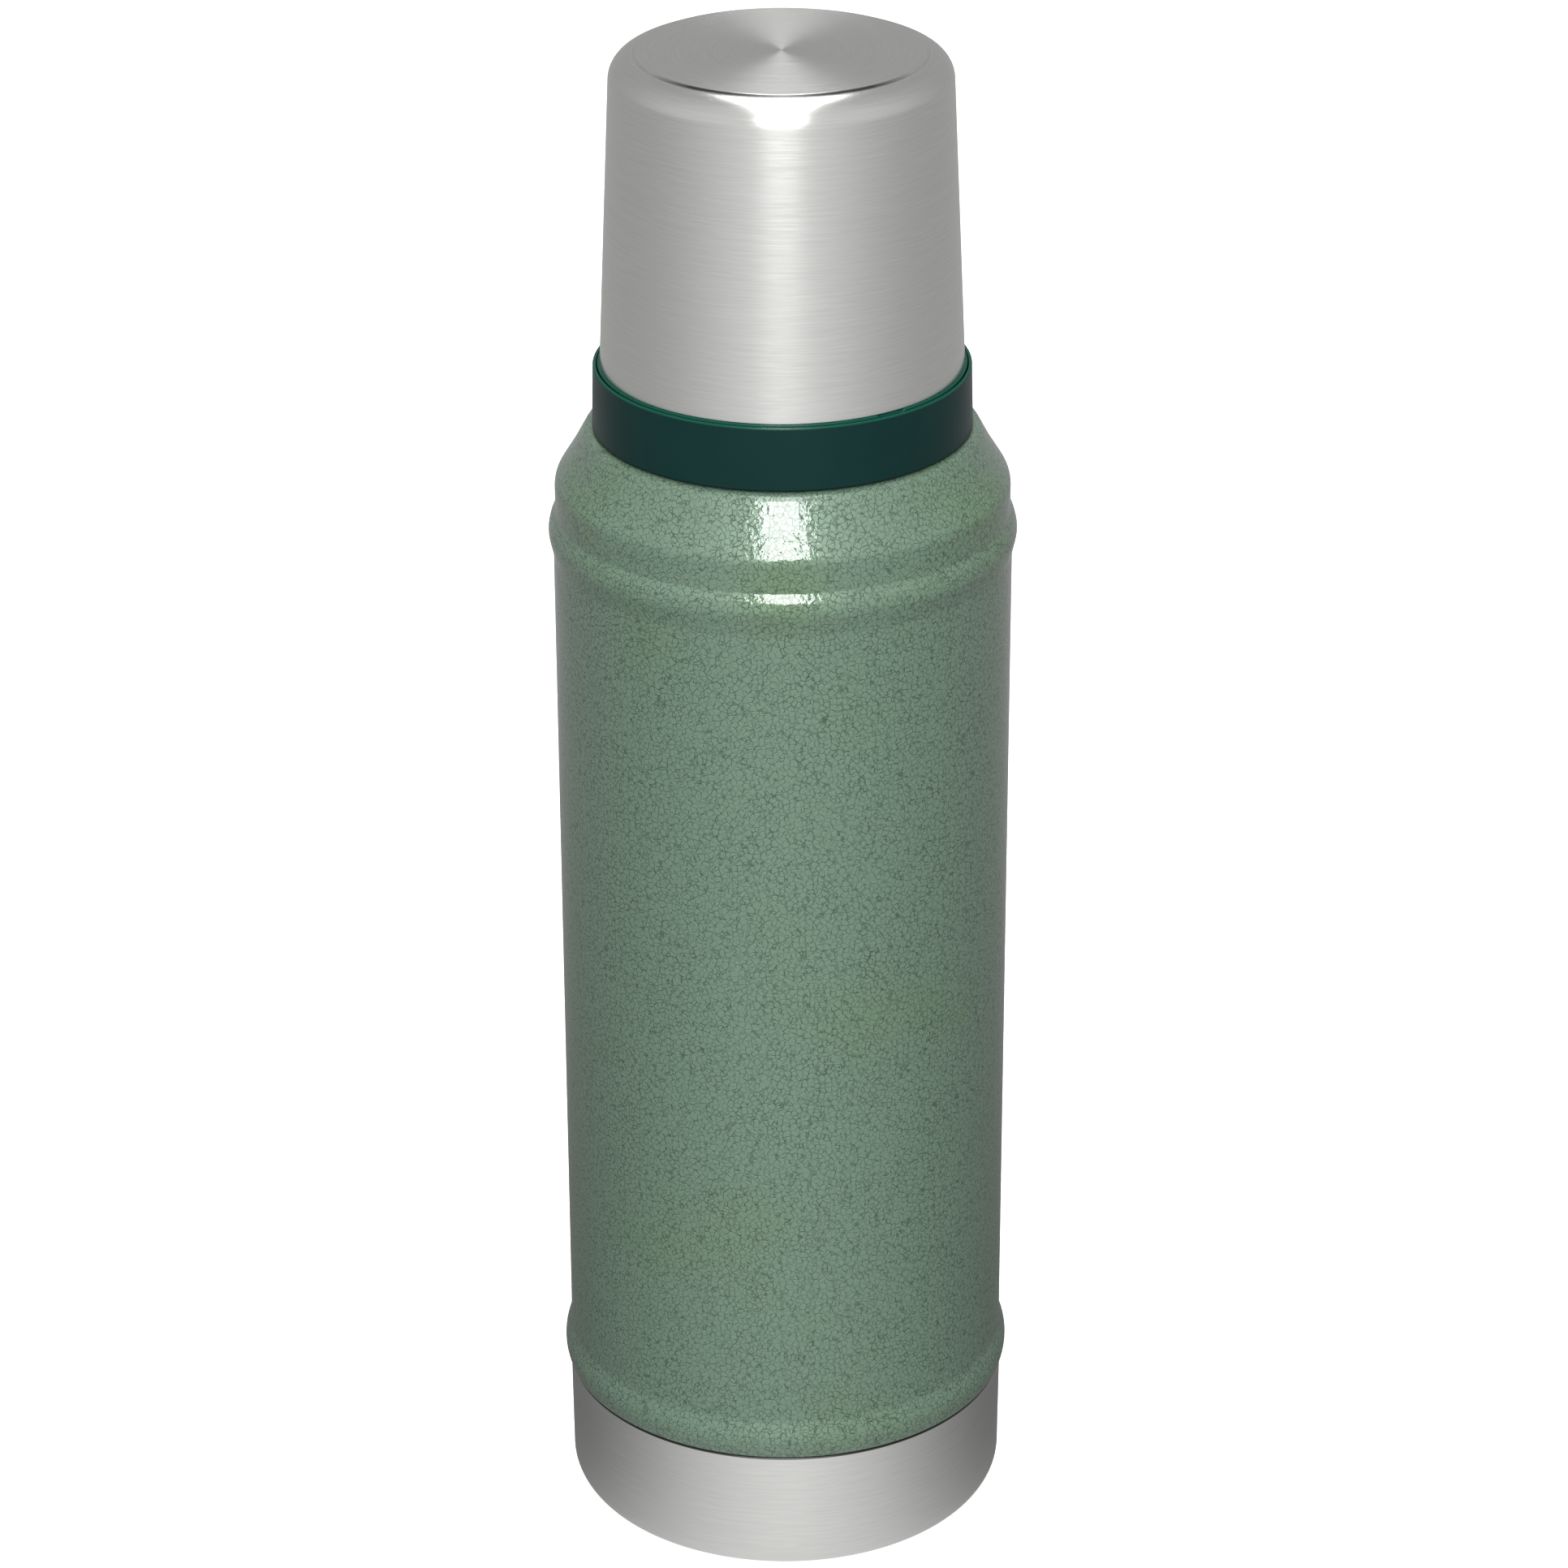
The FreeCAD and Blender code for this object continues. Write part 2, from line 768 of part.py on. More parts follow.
def stopper_knob():
    """Hollow grip on the plug, scalloped round its side."""
    body = turned("stopper_knob", [
        (knob_bore, flange_top),
        (knob_radius, flange_top, size.mould_round),
        (knob_radius - size.knob_draft, knob_top, size.knob_corner),
        (0, knob_top),
        (0, knob_top - size.knob_wall),
        (knob_bore - size.knob_draft, knob_top - size.knob_wall, size.knob_corner),
    ], lip_height)
    grips = new_sketch(body, "grip", "XY_Plane")
    centre = knob_radius + size.grip_radius - size.grip_depth
    scallop = Part.Circle(FreeCAD.Vector(centre.number, 0, 0), FreeCAD.Vector(0, 0, 1),
                          size.grip_radius.number)
    grips.addGeometry(scallop, False)
    bind(grips, place_rules(0, 3, centre, 0))
    bind(grips, [(Sketcher.Constraint("Radius", 0, size.grip_radius.number), size.grip_radius)])
    doc.recompute()
    cut_round(body, grips, "grips", None, GRIP_COUNT)


def stopper_insulation():
    """Foam core that fills the plug and the knob."""
    core = plug_radius - size.plug_wall - size.slip_fit
    core_top = knob_top - size.knob_wall
    turned("stopper_insulation", [
        (0, plug_floor_top),
        (core, plug_floor_top),
        (core, core_top, size.knob_corner),
        (0, core_top),
    ], lip_height)


def stopper_base_cap():
    """Cap under the plug that keeps the lower seal on."""
    cap_radius = plug_foot_radius + size.cap_lip
    spigot = plug_foot_radius - size.plug_foot_wall - size.slip_fit
    turned("stopper_base_cap", [
        (0, plug_foot - size.cap_thickness),
        (cap_radius, plug_foot - size.cap_thickness, size.cap_round),
        (cap_radius, plug_foot),
        (spigot, plug_foot),
        (spigot, plug_floor_top),
        (0, plug_floor_top),
    ], lip_height)


def stopper_lower_seal():
    """Tapered ring that closes on the conical seat in the neck."""
    foot_rise = plug_foot - (seat_foot - lip_height)
    low_radius = seat_radius + seat_slope * foot_rise - size.lower_seal_gap
    turned("stopper_lower_seal", [
        (plug_foot_radius, plug_foot),
        (low_radius, plug_foot, size.fine_round),
        (plug_radius, seal_top, size.fine_round),
        (plug_foot_radius, seal_top),
    ], lip_height)


def stopper_upper_seal():
    """Flat ring between the plug's flange and the lip of the neck."""
    inner = plug_radius + size.seal_play
    outer = flange_radius - size.seal_play
    turned("stopper_upper_seal", [
        (inner, 0),
        (outer, 0),
        (outer, size.upper_seal_thickness),
        (inner, size.upper_seal_thickness),
    ], lip_height)


SUBPARTS = (
    outer_shell, outer_shoulder, base_cup, base_pad, outer_bottom, exhaust_seal,
    inner_vessel, inner_neck, inner_bottom, radiation_foil, getter, getter_clip,
    neck_collar, collar_gasket,
    cup_shell, cup_thread_ring, cup_liner, cup_gasket,
    stopper_body, stopper_knob, stopper_insulation, stopper_base_cap,
    stopper_lower_seal, stopper_upper_seal,
)

doc = FreeCAD.newDocument("VacuumFlask")
size = write_sheet()

# Heights up the outer shell
lower_bead_foot = size.base_height + size.seam_gap
lower_bead_top = lower_bead_foot + size.lower_bead_height
upper_bead_foot = lower_bead_top + size.body_length
upper_bead_top = upper_bead_foot + size.upper_bead_height
crown_joint = upper_bead_top + size.crown_height * 0.3
crown_top = upper_bead_top + size.crown_height
land_height = crown_top + size.shoulder_height
lip_height = land_height + size.neck_length
bend_height = crown_top + size.shoulder_height / 2
skirt_foot = size.jacket_floor - size.pan_flange

# Radii from the bore outward
neck_radius = size.bore_radius + size.neck_gap + size.steel_wall * 2
spigot_bore = neck_radius + size.spigot_fit
spigot_radius = spigot_bore + size.spigot_wall
ring_radius = spigot_radius + size.cup_thread_depth + size.thread_gap
cup_mouth = ring_radius + size.ring_boss + size.slip_fit + size.steel_wall
lip_radius = cup_mouth + size.lip_reach
rim_radius = lip_radius + size.rim_gap
land_radius = rim_radius + size.rim_wall + size.rim_taper + size.shoulder_land
crown_radius = size.body_radius - size.crown_step
bend_radius = land_radius + (crown_radius - land_radius) * size.shoulder_bend
skirt_radius = size.body_radius - size.steel_wall - size.skirt_fit

# Inner vessel
vessel_radius = size.body_radius - size.steel_wall - size.jacket_gap
vessel_foot = size.jacket_floor + size.floor_gap
vessel_floor = vessel_foot + size.floor_flange - size.steel_wall
seat_radius = size.bore_radius - size.seat_step
seat_top = lip_height - size.seat_depth
seat_foot = seat_top - size.seat_height
seat_slope = size.seat_step / size.seat_height
throat_foot = seat_foot - size.throat_height
vessel_shoulder = throat_foot - size.vessel_slope
foil_top = vessel_shoulder - size.foil_margin
vessel_joint = foil_top + size.steel_wall * 2

# Collar and cup; the collar is measured from the land and the cup from its mouth
rim_top = size.collar_lift + size.rim_height
cup_seat = land_height + size.cup_seat
cup_seal_foot = size.spigot_height - size.cup_seat
shelf_radius = spigot_bore + size.shelf_inset
spigot_thread_foot = size.web_top + size.cup_thread_start
ring_thread_foot = spigot_thread_foot - size.cup_seat + size.cup_lead / CUP_THREAD_STARTS / 2

# Stopper, measured from the lip
plug_radius = size.bore_radius - size.thread_gap - size.stopper_thread_depth
seal_top = seat_top - lip_height - size.lower_seal_drop
plug_floor_top = seal_top + size.plug_floor
plug_foot = seal_top - size.lower_seal_height
plug_foot_radius = seat_radius - size.plug_foot_slack
flange_radius = neck_radius - size.flange_inset
flange_top = size.upper_seal_thickness + size.flange_thickness
knob_top = flange_top + size.knob_height
stopper_thread_foot = seal_top + size.stopper_thread_start
neck_thread_foot = lip_height + stopper_thread_foot + size.stopper_lead / 2
knob_radius = flange_radius - size.knob_inset
knob_bore = knob_radius - size.grip_depth - size.knob_wall

for make_subpart in SUBPARTS:
    make_subpart()
doc.recompute()

for item in doc.Objects:
    if "Invalid" in item.State or "Error" in item.State:
        raise RuntimeError(f"{item.Label} did not compute: {item.State}")

bodies = doc.findObjects("PartDesign::Body")
for body in bodies:
    if body.Shape.isNull() or not body.Shape.isValid() or len(body.Shape.Solids) != 1:
        raise RuntimeError(f"{body.Label} is not one valid solid")

os.makedirs("parts", exist_ok=True)
for body in bodies:
    body.Shape.exportStep(f"parts/{body.Label}.step")
print(f"{len(bodies)} sub-parts, overall height {(cup_seat + size.cup_height).number:.1f} mm")
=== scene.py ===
"""Dresses the vacuum flask: hammertone shell, brushed steel, moulded plastic, and a small studio."""

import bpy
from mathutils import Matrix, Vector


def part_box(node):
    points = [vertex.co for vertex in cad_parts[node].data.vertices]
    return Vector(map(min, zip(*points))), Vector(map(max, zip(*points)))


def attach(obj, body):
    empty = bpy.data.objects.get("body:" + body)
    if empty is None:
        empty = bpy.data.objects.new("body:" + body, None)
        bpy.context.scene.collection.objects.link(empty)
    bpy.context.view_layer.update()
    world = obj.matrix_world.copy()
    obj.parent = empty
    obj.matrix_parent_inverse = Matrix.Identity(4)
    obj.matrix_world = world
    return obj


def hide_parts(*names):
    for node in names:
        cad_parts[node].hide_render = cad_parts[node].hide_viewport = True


bl_info = {
    "name": "Vacuum Flask",
    "version": (1, 0, 0),
    "blender": (4, 5, 0),
    "location": "View3D > Sidebar > Flask",
    "description": "Builds the visible pieces and finishes of a vacuum flask on its frame",
    "category": "Object",
}

import math

import bmesh
import bpy
from bpy.props import FloatProperty, FloatVectorProperty, IntProperty, PointerProperty
from mathutils import Matrix, Vector

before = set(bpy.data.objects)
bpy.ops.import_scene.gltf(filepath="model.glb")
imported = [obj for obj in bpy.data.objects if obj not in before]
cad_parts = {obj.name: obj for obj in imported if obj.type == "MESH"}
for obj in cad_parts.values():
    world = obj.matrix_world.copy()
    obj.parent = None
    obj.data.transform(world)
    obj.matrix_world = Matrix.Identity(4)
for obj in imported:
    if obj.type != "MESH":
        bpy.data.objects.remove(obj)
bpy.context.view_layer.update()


def low(node):
    """Height of a CAD node's lowest point."""
    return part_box(node)[0].z


def high(node):
    """Height of a CAD node's highest point."""
    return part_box(node)[1].z


def reach(node):
    """Largest radius of a round CAD node."""
    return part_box(node)[1].x


def length(name, description, default):
    return FloatProperty(name=name, description=description, default=default, unit="LENGTH")


def share(name, description, default):
    return FloatProperty(name=name, description=description, default=default, min=0, max=1,
                         subtype="FACTOR")


def colour(name, description, default):
    return FloatVectorProperty(name=name, description=description, default=default, size=3,
                               min=0, max=1, subtype="COLOR")


# Sizes and finishes

class FlaskShellSizes(bpy.types.PropertyGroup):
    wall: length("Wall", "Thickness of the steel sheet", 0.0005)
    body_radius: length("Body radius", "Outer radius of the straight body", reach("base_cup") - 0.00025)
    seam: length("Seam", "Gap between the base cup and the lower bead", 0.00045)
    low_bead: length("Lower bead", "Height of the lower bead", 0.00805)
    low_bead_edge: length("Lower bead edge", "How far the bead's sharp lower edge stands out", 0.0006)
    low_bead_middle: length("Lower bead middle", "Height of its crest above the seam", 0.0032)
    low_bead_rise: length("Lower bead rise", "Corner that the crest is rounded from", 0.0017)
    body_length: length("Body length", "Straight length between the beads", 0.1715)
    top_bead: length("Upper bead", "Height of the upper bead", 0.0092)
    top_bead_rise: length("Upper bead rise", "Corner that the crest is rounded from", 0.00105)
    top_bead_brow: length("Upper bead brow", "Height of the steep edge at the bead's top", 0.0023)
    crown_step: length("Crown step", "How much narrower the crown is than the body", 0.00045)
    crown_height: length("Crown height", "Straight wall above the upper bead", 0.0056)
    shoulder_bend: share("Shoulder bend", "Where along its run the shoulder steepens", 0.464)
    land_radius: length("Land radius", "Edge of the flat land under the collar", 0.0377)
    neck_radius: length("Neck radius", "Outer radius of the neck", 0.026)
    skirt_fit: length("Skirt fit", "Gap between the skirt and the base cup", 0.00005)
    seam_round: length("Seam rounding", "Inner corner where the skirt turns out", 0.0002)
    edge_round: length("Edge rounding", "Rounding of the lower bead's edge", 0.0004)
    low_bead_round: length("Lower bead rounding", "Rounding of its crest", 0.007)
    low_bead_blend: length("Lower bead blend", "Rounding from the bead into the body", 0.004)
    top_bead_blend: length("Upper bead blend", "Rounding from the body into the bead", 0.003)
    top_bead_round: length("Upper bead rounding", "Rounding of its crest", 0.005)
    brow_round: length("Brow rounding", "Rounding at the top of the bead's steep edge", 0.0025)
    brow_blend: length("Brow blend", "Rounding from the steep edge into the crown", 0.0009)
    crown_round: length("Crown rounding", "Rounding from the crown into the shoulder", 0.005)
    bend_round: length("Bend rounding", "Rounding where the shoulder steepens", 0.012)
    land_round: length("Land rounding", "Rounding at the edge of the land", 0.002)
    neck_round: length("Neck rounding", "Rounding from the land into the neck", 0.001)


class FlaskBaseSizes(bpy.types.PropertyGroup):
    flare: length("Flare", "How much wider the mouth is than the body", 0.00025)
    corner: length("Corner", "Rounding between the wall and the foot", 0.0049)
    foot: length("Foot", "Width of the ring that the flask stands on", 0.0047)
    recess: length("Recess", "Depth of the panel inside the foot", 0.0012)
    foot_round: length("Foot rounding", "Rounding at both ends of the recess", 0.001)
    mouth_round: length("Mouth rounding", "Rounding of the cup's rim", 0.00018)
    # The three shade ring sizes below place a band on the rim's top, painted near black as shade of the
    # seam under the lower bead, and made rougher.
    shade_ring_inset: length("Painted shade ring inset", "How far inside the rim its painted shade ring lies", 0.0003)
    shade_ring_rise: length("Painted shade ring rise", "How far above the rim the ring's middle lies", 0.00005)
    shade_ring_half: length("Painted shade ring half width", "Half the width of the painted shade ring", 0.0003)


class FlaskCollarSizes(bpy.types.PropertyGroup):
    rim_radius: length("Rim radius", "Inner radius of the rim", 0.0355)
    rim_wall: length("Rim wall", "Thickness of the rim round the cup's mouth", 0.0007)
    rim_taper: length("Rim taper", "How much narrower the rim is at its top", 0.0003)
    rim_height: length("Rim height", "Height of the rim", 0.0124)
    groove_floor: length("Groove floor", "Height of the groove's floor above the land", 0.0057)
    web: length("Web", "Thickness of the web under the groove", 0.0023)
    skirt_wall: length("Skirt wall", "Thickness of the wall under the web", 0.0011)
    spigot_wall: length("Spigot wall", "Thickness of the threaded spigot", 0.0025)
    bore_fit: length("Bore fit", "Gap between the collar and the neck", 0.0001)
    seal_width: length("Seal width", "Width of the seal's recess", 0.0045)
    seal_wall: length("Seal wall", "Wall outside the seal's recess", 0.001)
    small_round: length("Small rounding", "Rounding of edges out of sight", 0.0002)
    skirt_round: length("Skirt rounding", "Rounding of the collar's lower edge", 0.0004)
    rim_round: length("Rim rounding", "Rounding of the rim's outer edge", 0.00032)
    groove_round: length("Groove rounding", "Rounding of the groove and the spigot", 0.0006)
    bore_round: length("Bore rounding", "Rounding at the top of the bore", 0.0003)


class FlaskThreadSizes(bpy.types.PropertyGroup):
    cup_depth: length("Cup thread depth", "Height of the cup's thread", 0.001)
    cup_lead: length("Cup lead", "Rise of the cup in one turn", 0.008)
    cup_start: length("Cup thread start", "First height on the spigot, above the groove", 0.0018)
    cup_rise: length("Cup thread rise", "Rise of the ridge on the spigot", 0.0064)
    cup_root: length("Cup thread root", "Width of the cup's ridges at their root", 0.0016)
    cup_crest: length("Cup thread crest", "Width of the cup's ridges at their crest", 0.0008)
    cup_starts: IntProperty(name="Cup thread starts", description="Ridges side by side in the cup's thread",
                            default=2, min=1)
    ring_start: length("Ring thread start", "First height in the ring, from the cup's mouth", -0.0035)
    ring_rise: length("Ring thread rise", "Rise of the ridge in the ring", 0.0046)
    stopper_lead: length("Stopper lead", "Rise of the stopper in one turn", 0.005)
    neck_depth: length("Neck thread depth", "Height of the ridge in the neck", 0.0011)
    neck_start: length("Neck thread start", "First height in the neck, above the seal", 0.0069)
    neck_rise: length("Neck thread rise", "Rise of the ridge in the neck", 0.0135)
    neck_root: length("Neck thread root", "Width of the neck's ridge at its root", 0.0022)
    neck_crest: length("Neck thread crest", "Width of the neck's ridge at its crest", 0.001)


class FlaskCupSizes(bpy.types.PropertyGroup):
    mouth_radius: length("Mouth radius", "Outer radius of the steel at the mouth", 0.03485)
    draft: length("Draft", "How much narrower the cup is at its closed end", 0.0027)
    corner: length("Corner", "Rounding between the side and the disc", 0.005)
    disc_radius: length("Disc radius", "Radius of the flat disc", 0.0273)
    disc_step: length("Disc step", "How far the disc stands above the rounding", 0.0004)
    lip_reach: length("Lip reach", "How far the plastic lip shows past the steel", 0.00045)
    lip_height: length("Lip height", "Height of the plastic lip", 0.0012)
    liner_mouth: length("Liner mouth", "Inner radius of the liner at its mouth", 0.0309)
    liner_draft: length("Liner draft", "How much narrower the liner is at its floor", 0.00175)
    ring_bore: length("Ring bore", "Inner radius of the thread ring", 0.0299)
    ring_wall: length("Ring wall", "Wall of the ring below the lip", 0.0021)
    shelf_radius: length("Shelf radius", "Inner radius of the shelf over the gasket", 0.0269)
    shelf_wall: length("Shelf wall", "Thickness of the shelf over the gasket", 0.0015)
    boss_fit: length("Boss fit", "Gap between the ring's boss and the steel", 0.0001)
    boss_taper: length("Boss taper", "How much narrower the boss is at its top", 0.0003)
    stem_outer: length("Stem outside", "How far the ring's top stands outside its bore", 0.0008)
    stem_inner: length("Stem inside", "How far the ring's top stands inside its bore", 0.0005)
    steel_round: length("Steel rounding", "Rounding of the mouth's and the disc's edges", 0.00015)
    step_round: length("Step rounding", "Rounding at the foot of the disc's step", 0.00012)
    liner_round: length("Liner rounding", "Rounding inside the liner's floor", 0.005)
    foot_round: length("Ring foot rounding", "Rounding of the ring's foot and lip", 0.0004)
    lip_round: length("Lip rounding", "Rounding of the lip's smaller edges", 0.0002)
    stem_round: length("Stem rounding", "Rounding at the top of the ring", 0.0003)
    # The three crease sizes below place a ring at the foot of the disc's step, painted near black as shade,
    # strongest at the front.
    crease_out: length("Crease place", "How far outside the disc its painted shade line lies", 0.0001)
    crease_drop: length("Crease drop", "How far under the disc's face the crease lies", 0.00025)
    crease_half: length("Crease half width", "Half the width of the painted shade line", 0.0002)
    notch_depth: length("Notch depth", "Depth of the notch in the lip", 0.0005)
    notch_width: length("Notch width", "Width of the notch in the lip", 0.006)
    notch_angle: FloatProperty(name="Notch angle", description="Where the notch is, about the axis",
                               default=math.radians(-55), subtype="ANGLE")


class FlaskStopperSizes(bpy.types.PropertyGroup):
    knob_radius: length("Knob radius", "Outer radius at the knob's foot", 0.0254)
    knob_bore: length("Knob bore", "Inner radius at the knob's foot", 0.022)
    knob_wall: length("Knob wall", "Thickness of the knob's top", 0.0022)
    grips: IntProperty(name="Grips", description="Scallops round the knob", default=16, min=3)
    grip_radius: length("Grip radius", "Radius of one scallop", 0.004)
    grip_depth: length("Grip depth", "Depth of one scallop", 0.0012)
    knob_draft: length("Knob draft", "How much narrower the knob is at its top", 0.0008)
    knob_corner: length("Knob corner", "Rounding of the knob's top edge", 0.0025)
    dish: length("Dish", "Depth of the dish in the knob's top", 0.0006)
    dish_edge: share("Dish edge", "Edge of the dish, of the knob's radius", 0.72)
    dish_floor: share("Dish floor", "Edge of the dish's floor, of the knob's radius", 0.68)
    dish_edge_round: length("Dish edge rounding", "Rounding at the edge of the dish", 0.0006)
    dish_floor_round: length("Dish floor rounding", "Rounding at the dish's floor", 0.0008)
    foot_round: length("Knob foot rounding", "Rounding of the knob's lower edge", 0.0004)
    grip_spread: FloatProperty(name="Grip spread", default=1.1, min=1,
                               description="Width of a pressed grip beside that of a cut one")


class FlaskVesselSizes(bpy.types.PropertyGroup):
    bore_radius: length("Bore radius", "Inner radius of the threaded neck", 0.0235)
    seat_radius: length("Seat radius", "Inner radius of the throat", 0.0205)
    seat_depth: length("Seat depth", "From the lip down to the conical seat", 0.0217)
    seat_height: length("Seat height", "Height of the conical seat", 0.004)
    throat_height: length("Throat height", "Straight wall under the seat", 0.0045)
    slope: length("Slope", "Rise of the vessel's shoulder", 0.0075)
    shoulder_round: length("Shoulder rounding", "Rounding outside the shoulder", 0.007)
    throat_round: length("Throat rounding", "Rounding from the shoulder into the throat", 0.003)
    lip_round: length("Lip rounding", "Rounding of the rolled lip", 0.0002)
    mouth_round: length("Mouth rounding", "Rounding from the lip into the bore", 0.0004)
    seat_round: length("Seat rounding", "Rounding above and below the seat", 0.001)


class FlaskFinishes(bpy.types.PropertyGroup):
    paint: colour("Paint", "Hammertone paint between its veins", (0.100, 0.156, 0.111))
    paint_vein: colour("Paint veins", "Hammertone paint along its veins", (0.026, 0.053, 0.033))
    paint_warm: colour("Warm paint", "Hammertone paint in its warmer patches", (0.088, 0.150, 0.068))
    steel: colour("Steel", "Brushed stainless steel", (0.78, 0.78, 0.76))
    green: colour("Green plastic", "Moulded collar and cup ring", (0.0022, 0.0178, 0.0163))
    black: colour("Black plastic", "Moulded stopper", (0.018, 0.020, 0.021))
    cell: length("Paint cell", "Size of one hammertone cell", 0.0011)
    pebble_depth: length("Pebble depth", "Relief of the paint's cells", 0.00009)
    dent_depth: length("Dent depth", "Relief of the paint's clear coat", 0.00012)
    warm_drop: length("Warm patch drop", "How far under the shell's joint the warm patch lies", 0.002)
    warm_core: length("Warm patch core", "Radius inside which the patch is full", 0.003)
    warm_edge: length("Warm patch edge", "Radius at which the patch ends", 0.012)
    steel_roughness: share("Steel roughness", "Roughness of the brushed steel", 0.205)
    steel_anisotropy: share("Steel anisotropy", "How far highlights stretch across the brushing", 0.75)
    brush_line: length("Brush line", "Spacing of the brushed lines", 0.00016)
    brush_run: length("Brush run", "Length of the finer brushed lines", 0.006)
    brush_depth: length("Brush depth", "Relief of the brushed lines", 0.000012)
    # The two sizes below set the paler bands on the collar's rim and the cup ring's lip, which are painted
    # highlights.
    highlight_core: length("Painted highlight core", "Half width of the collar's painted highlights", 0.0001)
    highlight_fade: length("Painted highlight fade", "Where the painted highlights end", 0.0003)


class FlaskStage(bpy.types.PropertyGroup):
    camera_distance: length("Camera distance", "Camera's distance in front of the axis", 0.9133)
    camera_height: length("Camera height", "Camera's height above the floor", 0.5862)
    camera_pitch: FloatProperty(name="Pitch", description="How far the camera looks down",
                                default=math.radians(25.23), subtype="ANGLE")
    camera_roll: FloatProperty(name="Roll", description="Turn of the camera about its view",
                               default=math.radians(-0.19), subtype="ANGLE")
    lens: FloatProperty(name="Lens", description="Focal length on a 36 mm sensor, in mm", default=117.0)
    key: FloatProperty(name="Key", description="Power of the softbox in front", default=31.0,
                       unit="POWER")
    key_elevation: FloatProperty(name="Key elevation", description="Softbox's height as an angle",
                                 default=math.radians(30.5), subtype="ANGLE")
    key_distance: length("Key distance", "From the shoulder to the softbox", 1.6)
    key_width: length("Key width", "Width of the softbox", 0.60)
    key_height: length("Key height", "Height of the softbox", 0.84)
    top: FloatProperty(name="Top light", description="Power of the strip overhead", default=25.0,
                       unit="POWER")
    top_distance: length("Top distance", "From the shoulder to the strip overhead", 1.4)
    top_width: length("Top width", "Width of the strip overhead", 0.5)
    top_length: length("Top length", "Length of the strip overhead", 2.3)
    rear: FloatProperty(name="Rear light", description="Power of the strip behind", default=2.4,
                        unit="POWER")
    rear_elevation: FloatProperty(name="Rear elevation", description="Rear strip's height as an angle",
                                  default=math.radians(55), subtype="ANGLE")
    rear_distance: length("Rear distance", "From the shoulder to the strip behind", 1.6)
    rear_width: length("Rear width", "Width of the strip behind", 0.35)
    rear_height: length("Rear height", "Height of the strip behind", 0.8)
    room_front: FloatProperty(name="Room front", description="Brightness of the room in front",
                              default=0.70)
    room_back: FloatProperty(name="Room back", description="Brightness of the room behind",
                             default=0.37)
    floor_front: FloatProperty(name="Floor front", description="Light from the floor in front",
                               default=0.76)
    floor_back: FloatProperty(name="Floor back", description="Light from the floor behind",
                              default=0.38)
    floor_shade: FloatProperty(name="Floor shade", description="Light from the floor close behind",
                               default=0.15)
    floor_tone: share("Floor tone", "Lightness of the floor", 0.7)
    floor_radius: length("Floor radius", "Radius of the floor", 12)
    shade_near: length("Shade start", "Distance at which the floor's shade is full", 0.06)
    shade_far: length("Shade end", "Distance at which the floor's shade is gone", 0.45)
    floor_glow: FloatProperty(name="Floor glow", description="Extra brightness of the floor in view",
                              default=0.6)
    shift: FloatProperty(name="Shift", description="Camera's sideways shift, of the frame's width",
                         default=0.0002)


# Mesh helpers

SEGMENTS = 384
ARC_STEP = math.radians(5)
SHARP = math.radians(32)
ON_AXIS = 1e-7
THREAD_SEGMENTS = 96
THREAD_STEPS = 8
THREAD_FADE = THREAD_SEGMENTS / 10
THREAD_END = 0.15
THREAD_BEVEL = 0.15
THREAD_BURY = 0.0002
NOTCH_MARGIN = 0.00002
SENSOR_WIDTH = 36


def rounded(corners):
    """Points of a closed outline from its corners, each (radius, height) or with a rounding."""
    points = []
    for i, corner in enumerate(corners):
        here = Vector(corner[:2])
        if len(corner) == 2:
            points.append(here)
            continue
        back = (Vector(corners[i - 1][:2]) - here).normalized()
        ahead = (Vector(corners[(i + 1) % len(corners)][:2]) - here).normalized()
        half = back.angle(ahead) / 2
        turn = math.pi - 2 * half
        centre = here + (back + ahead).normalized() * (corner[2] / math.sin(half))
        start = here + back * (corner[2] / math.tan(half)) - centre
        side = math.copysign(1, back.y * ahead.x - back.x * ahead.y)
        steps = max(2, math.ceil(turn / ARC_STEP))
        for step in range(steps + 1):
            angle = side * turn * step / steps
            cos, sin = math.cos(angle), math.sin(angle)
            points.append(centre + Vector((start.x * cos - start.y * sin, start.x * sin + start.y * cos)))
    return points


def spin(mesh, points, shape=None):
    """Turn a closed outline about the axis; shape(radius, height, angle) may give other places."""
    rings = []
    for point in points:
        if point.x < ON_AXIS:
            rings.append([mesh.verts.new((0, 0, point.y))])
            continue
        ring = []
        for k in range(SEGMENTS):
            angle = 2 * math.pi * k / SEGMENTS
            radius, height = shape(point.x, point.y, angle) if shape else point
            ring.append(mesh.verts.new((radius * math.cos(angle), radius * math.sin(angle), height)))
        rings.append(ring)
    for i, ring in enumerate(rings):
        other = rings[(i + 1) % len(rings)]
        for k in range(SEGMENTS):
            after = (k + 1) % SEGMENTS
            if len(ring) == 1 and len(other) == 1:
                break
            if len(ring) == 1:
                mesh.faces.new((ring[0], other[after], other[k]))
            elif len(other) == 1:
                mesh.faces.new((ring[k], ring[after], other[0]))
            else:
                mesh.faces.new((ring[k], ring[after], other[after], other[k]))


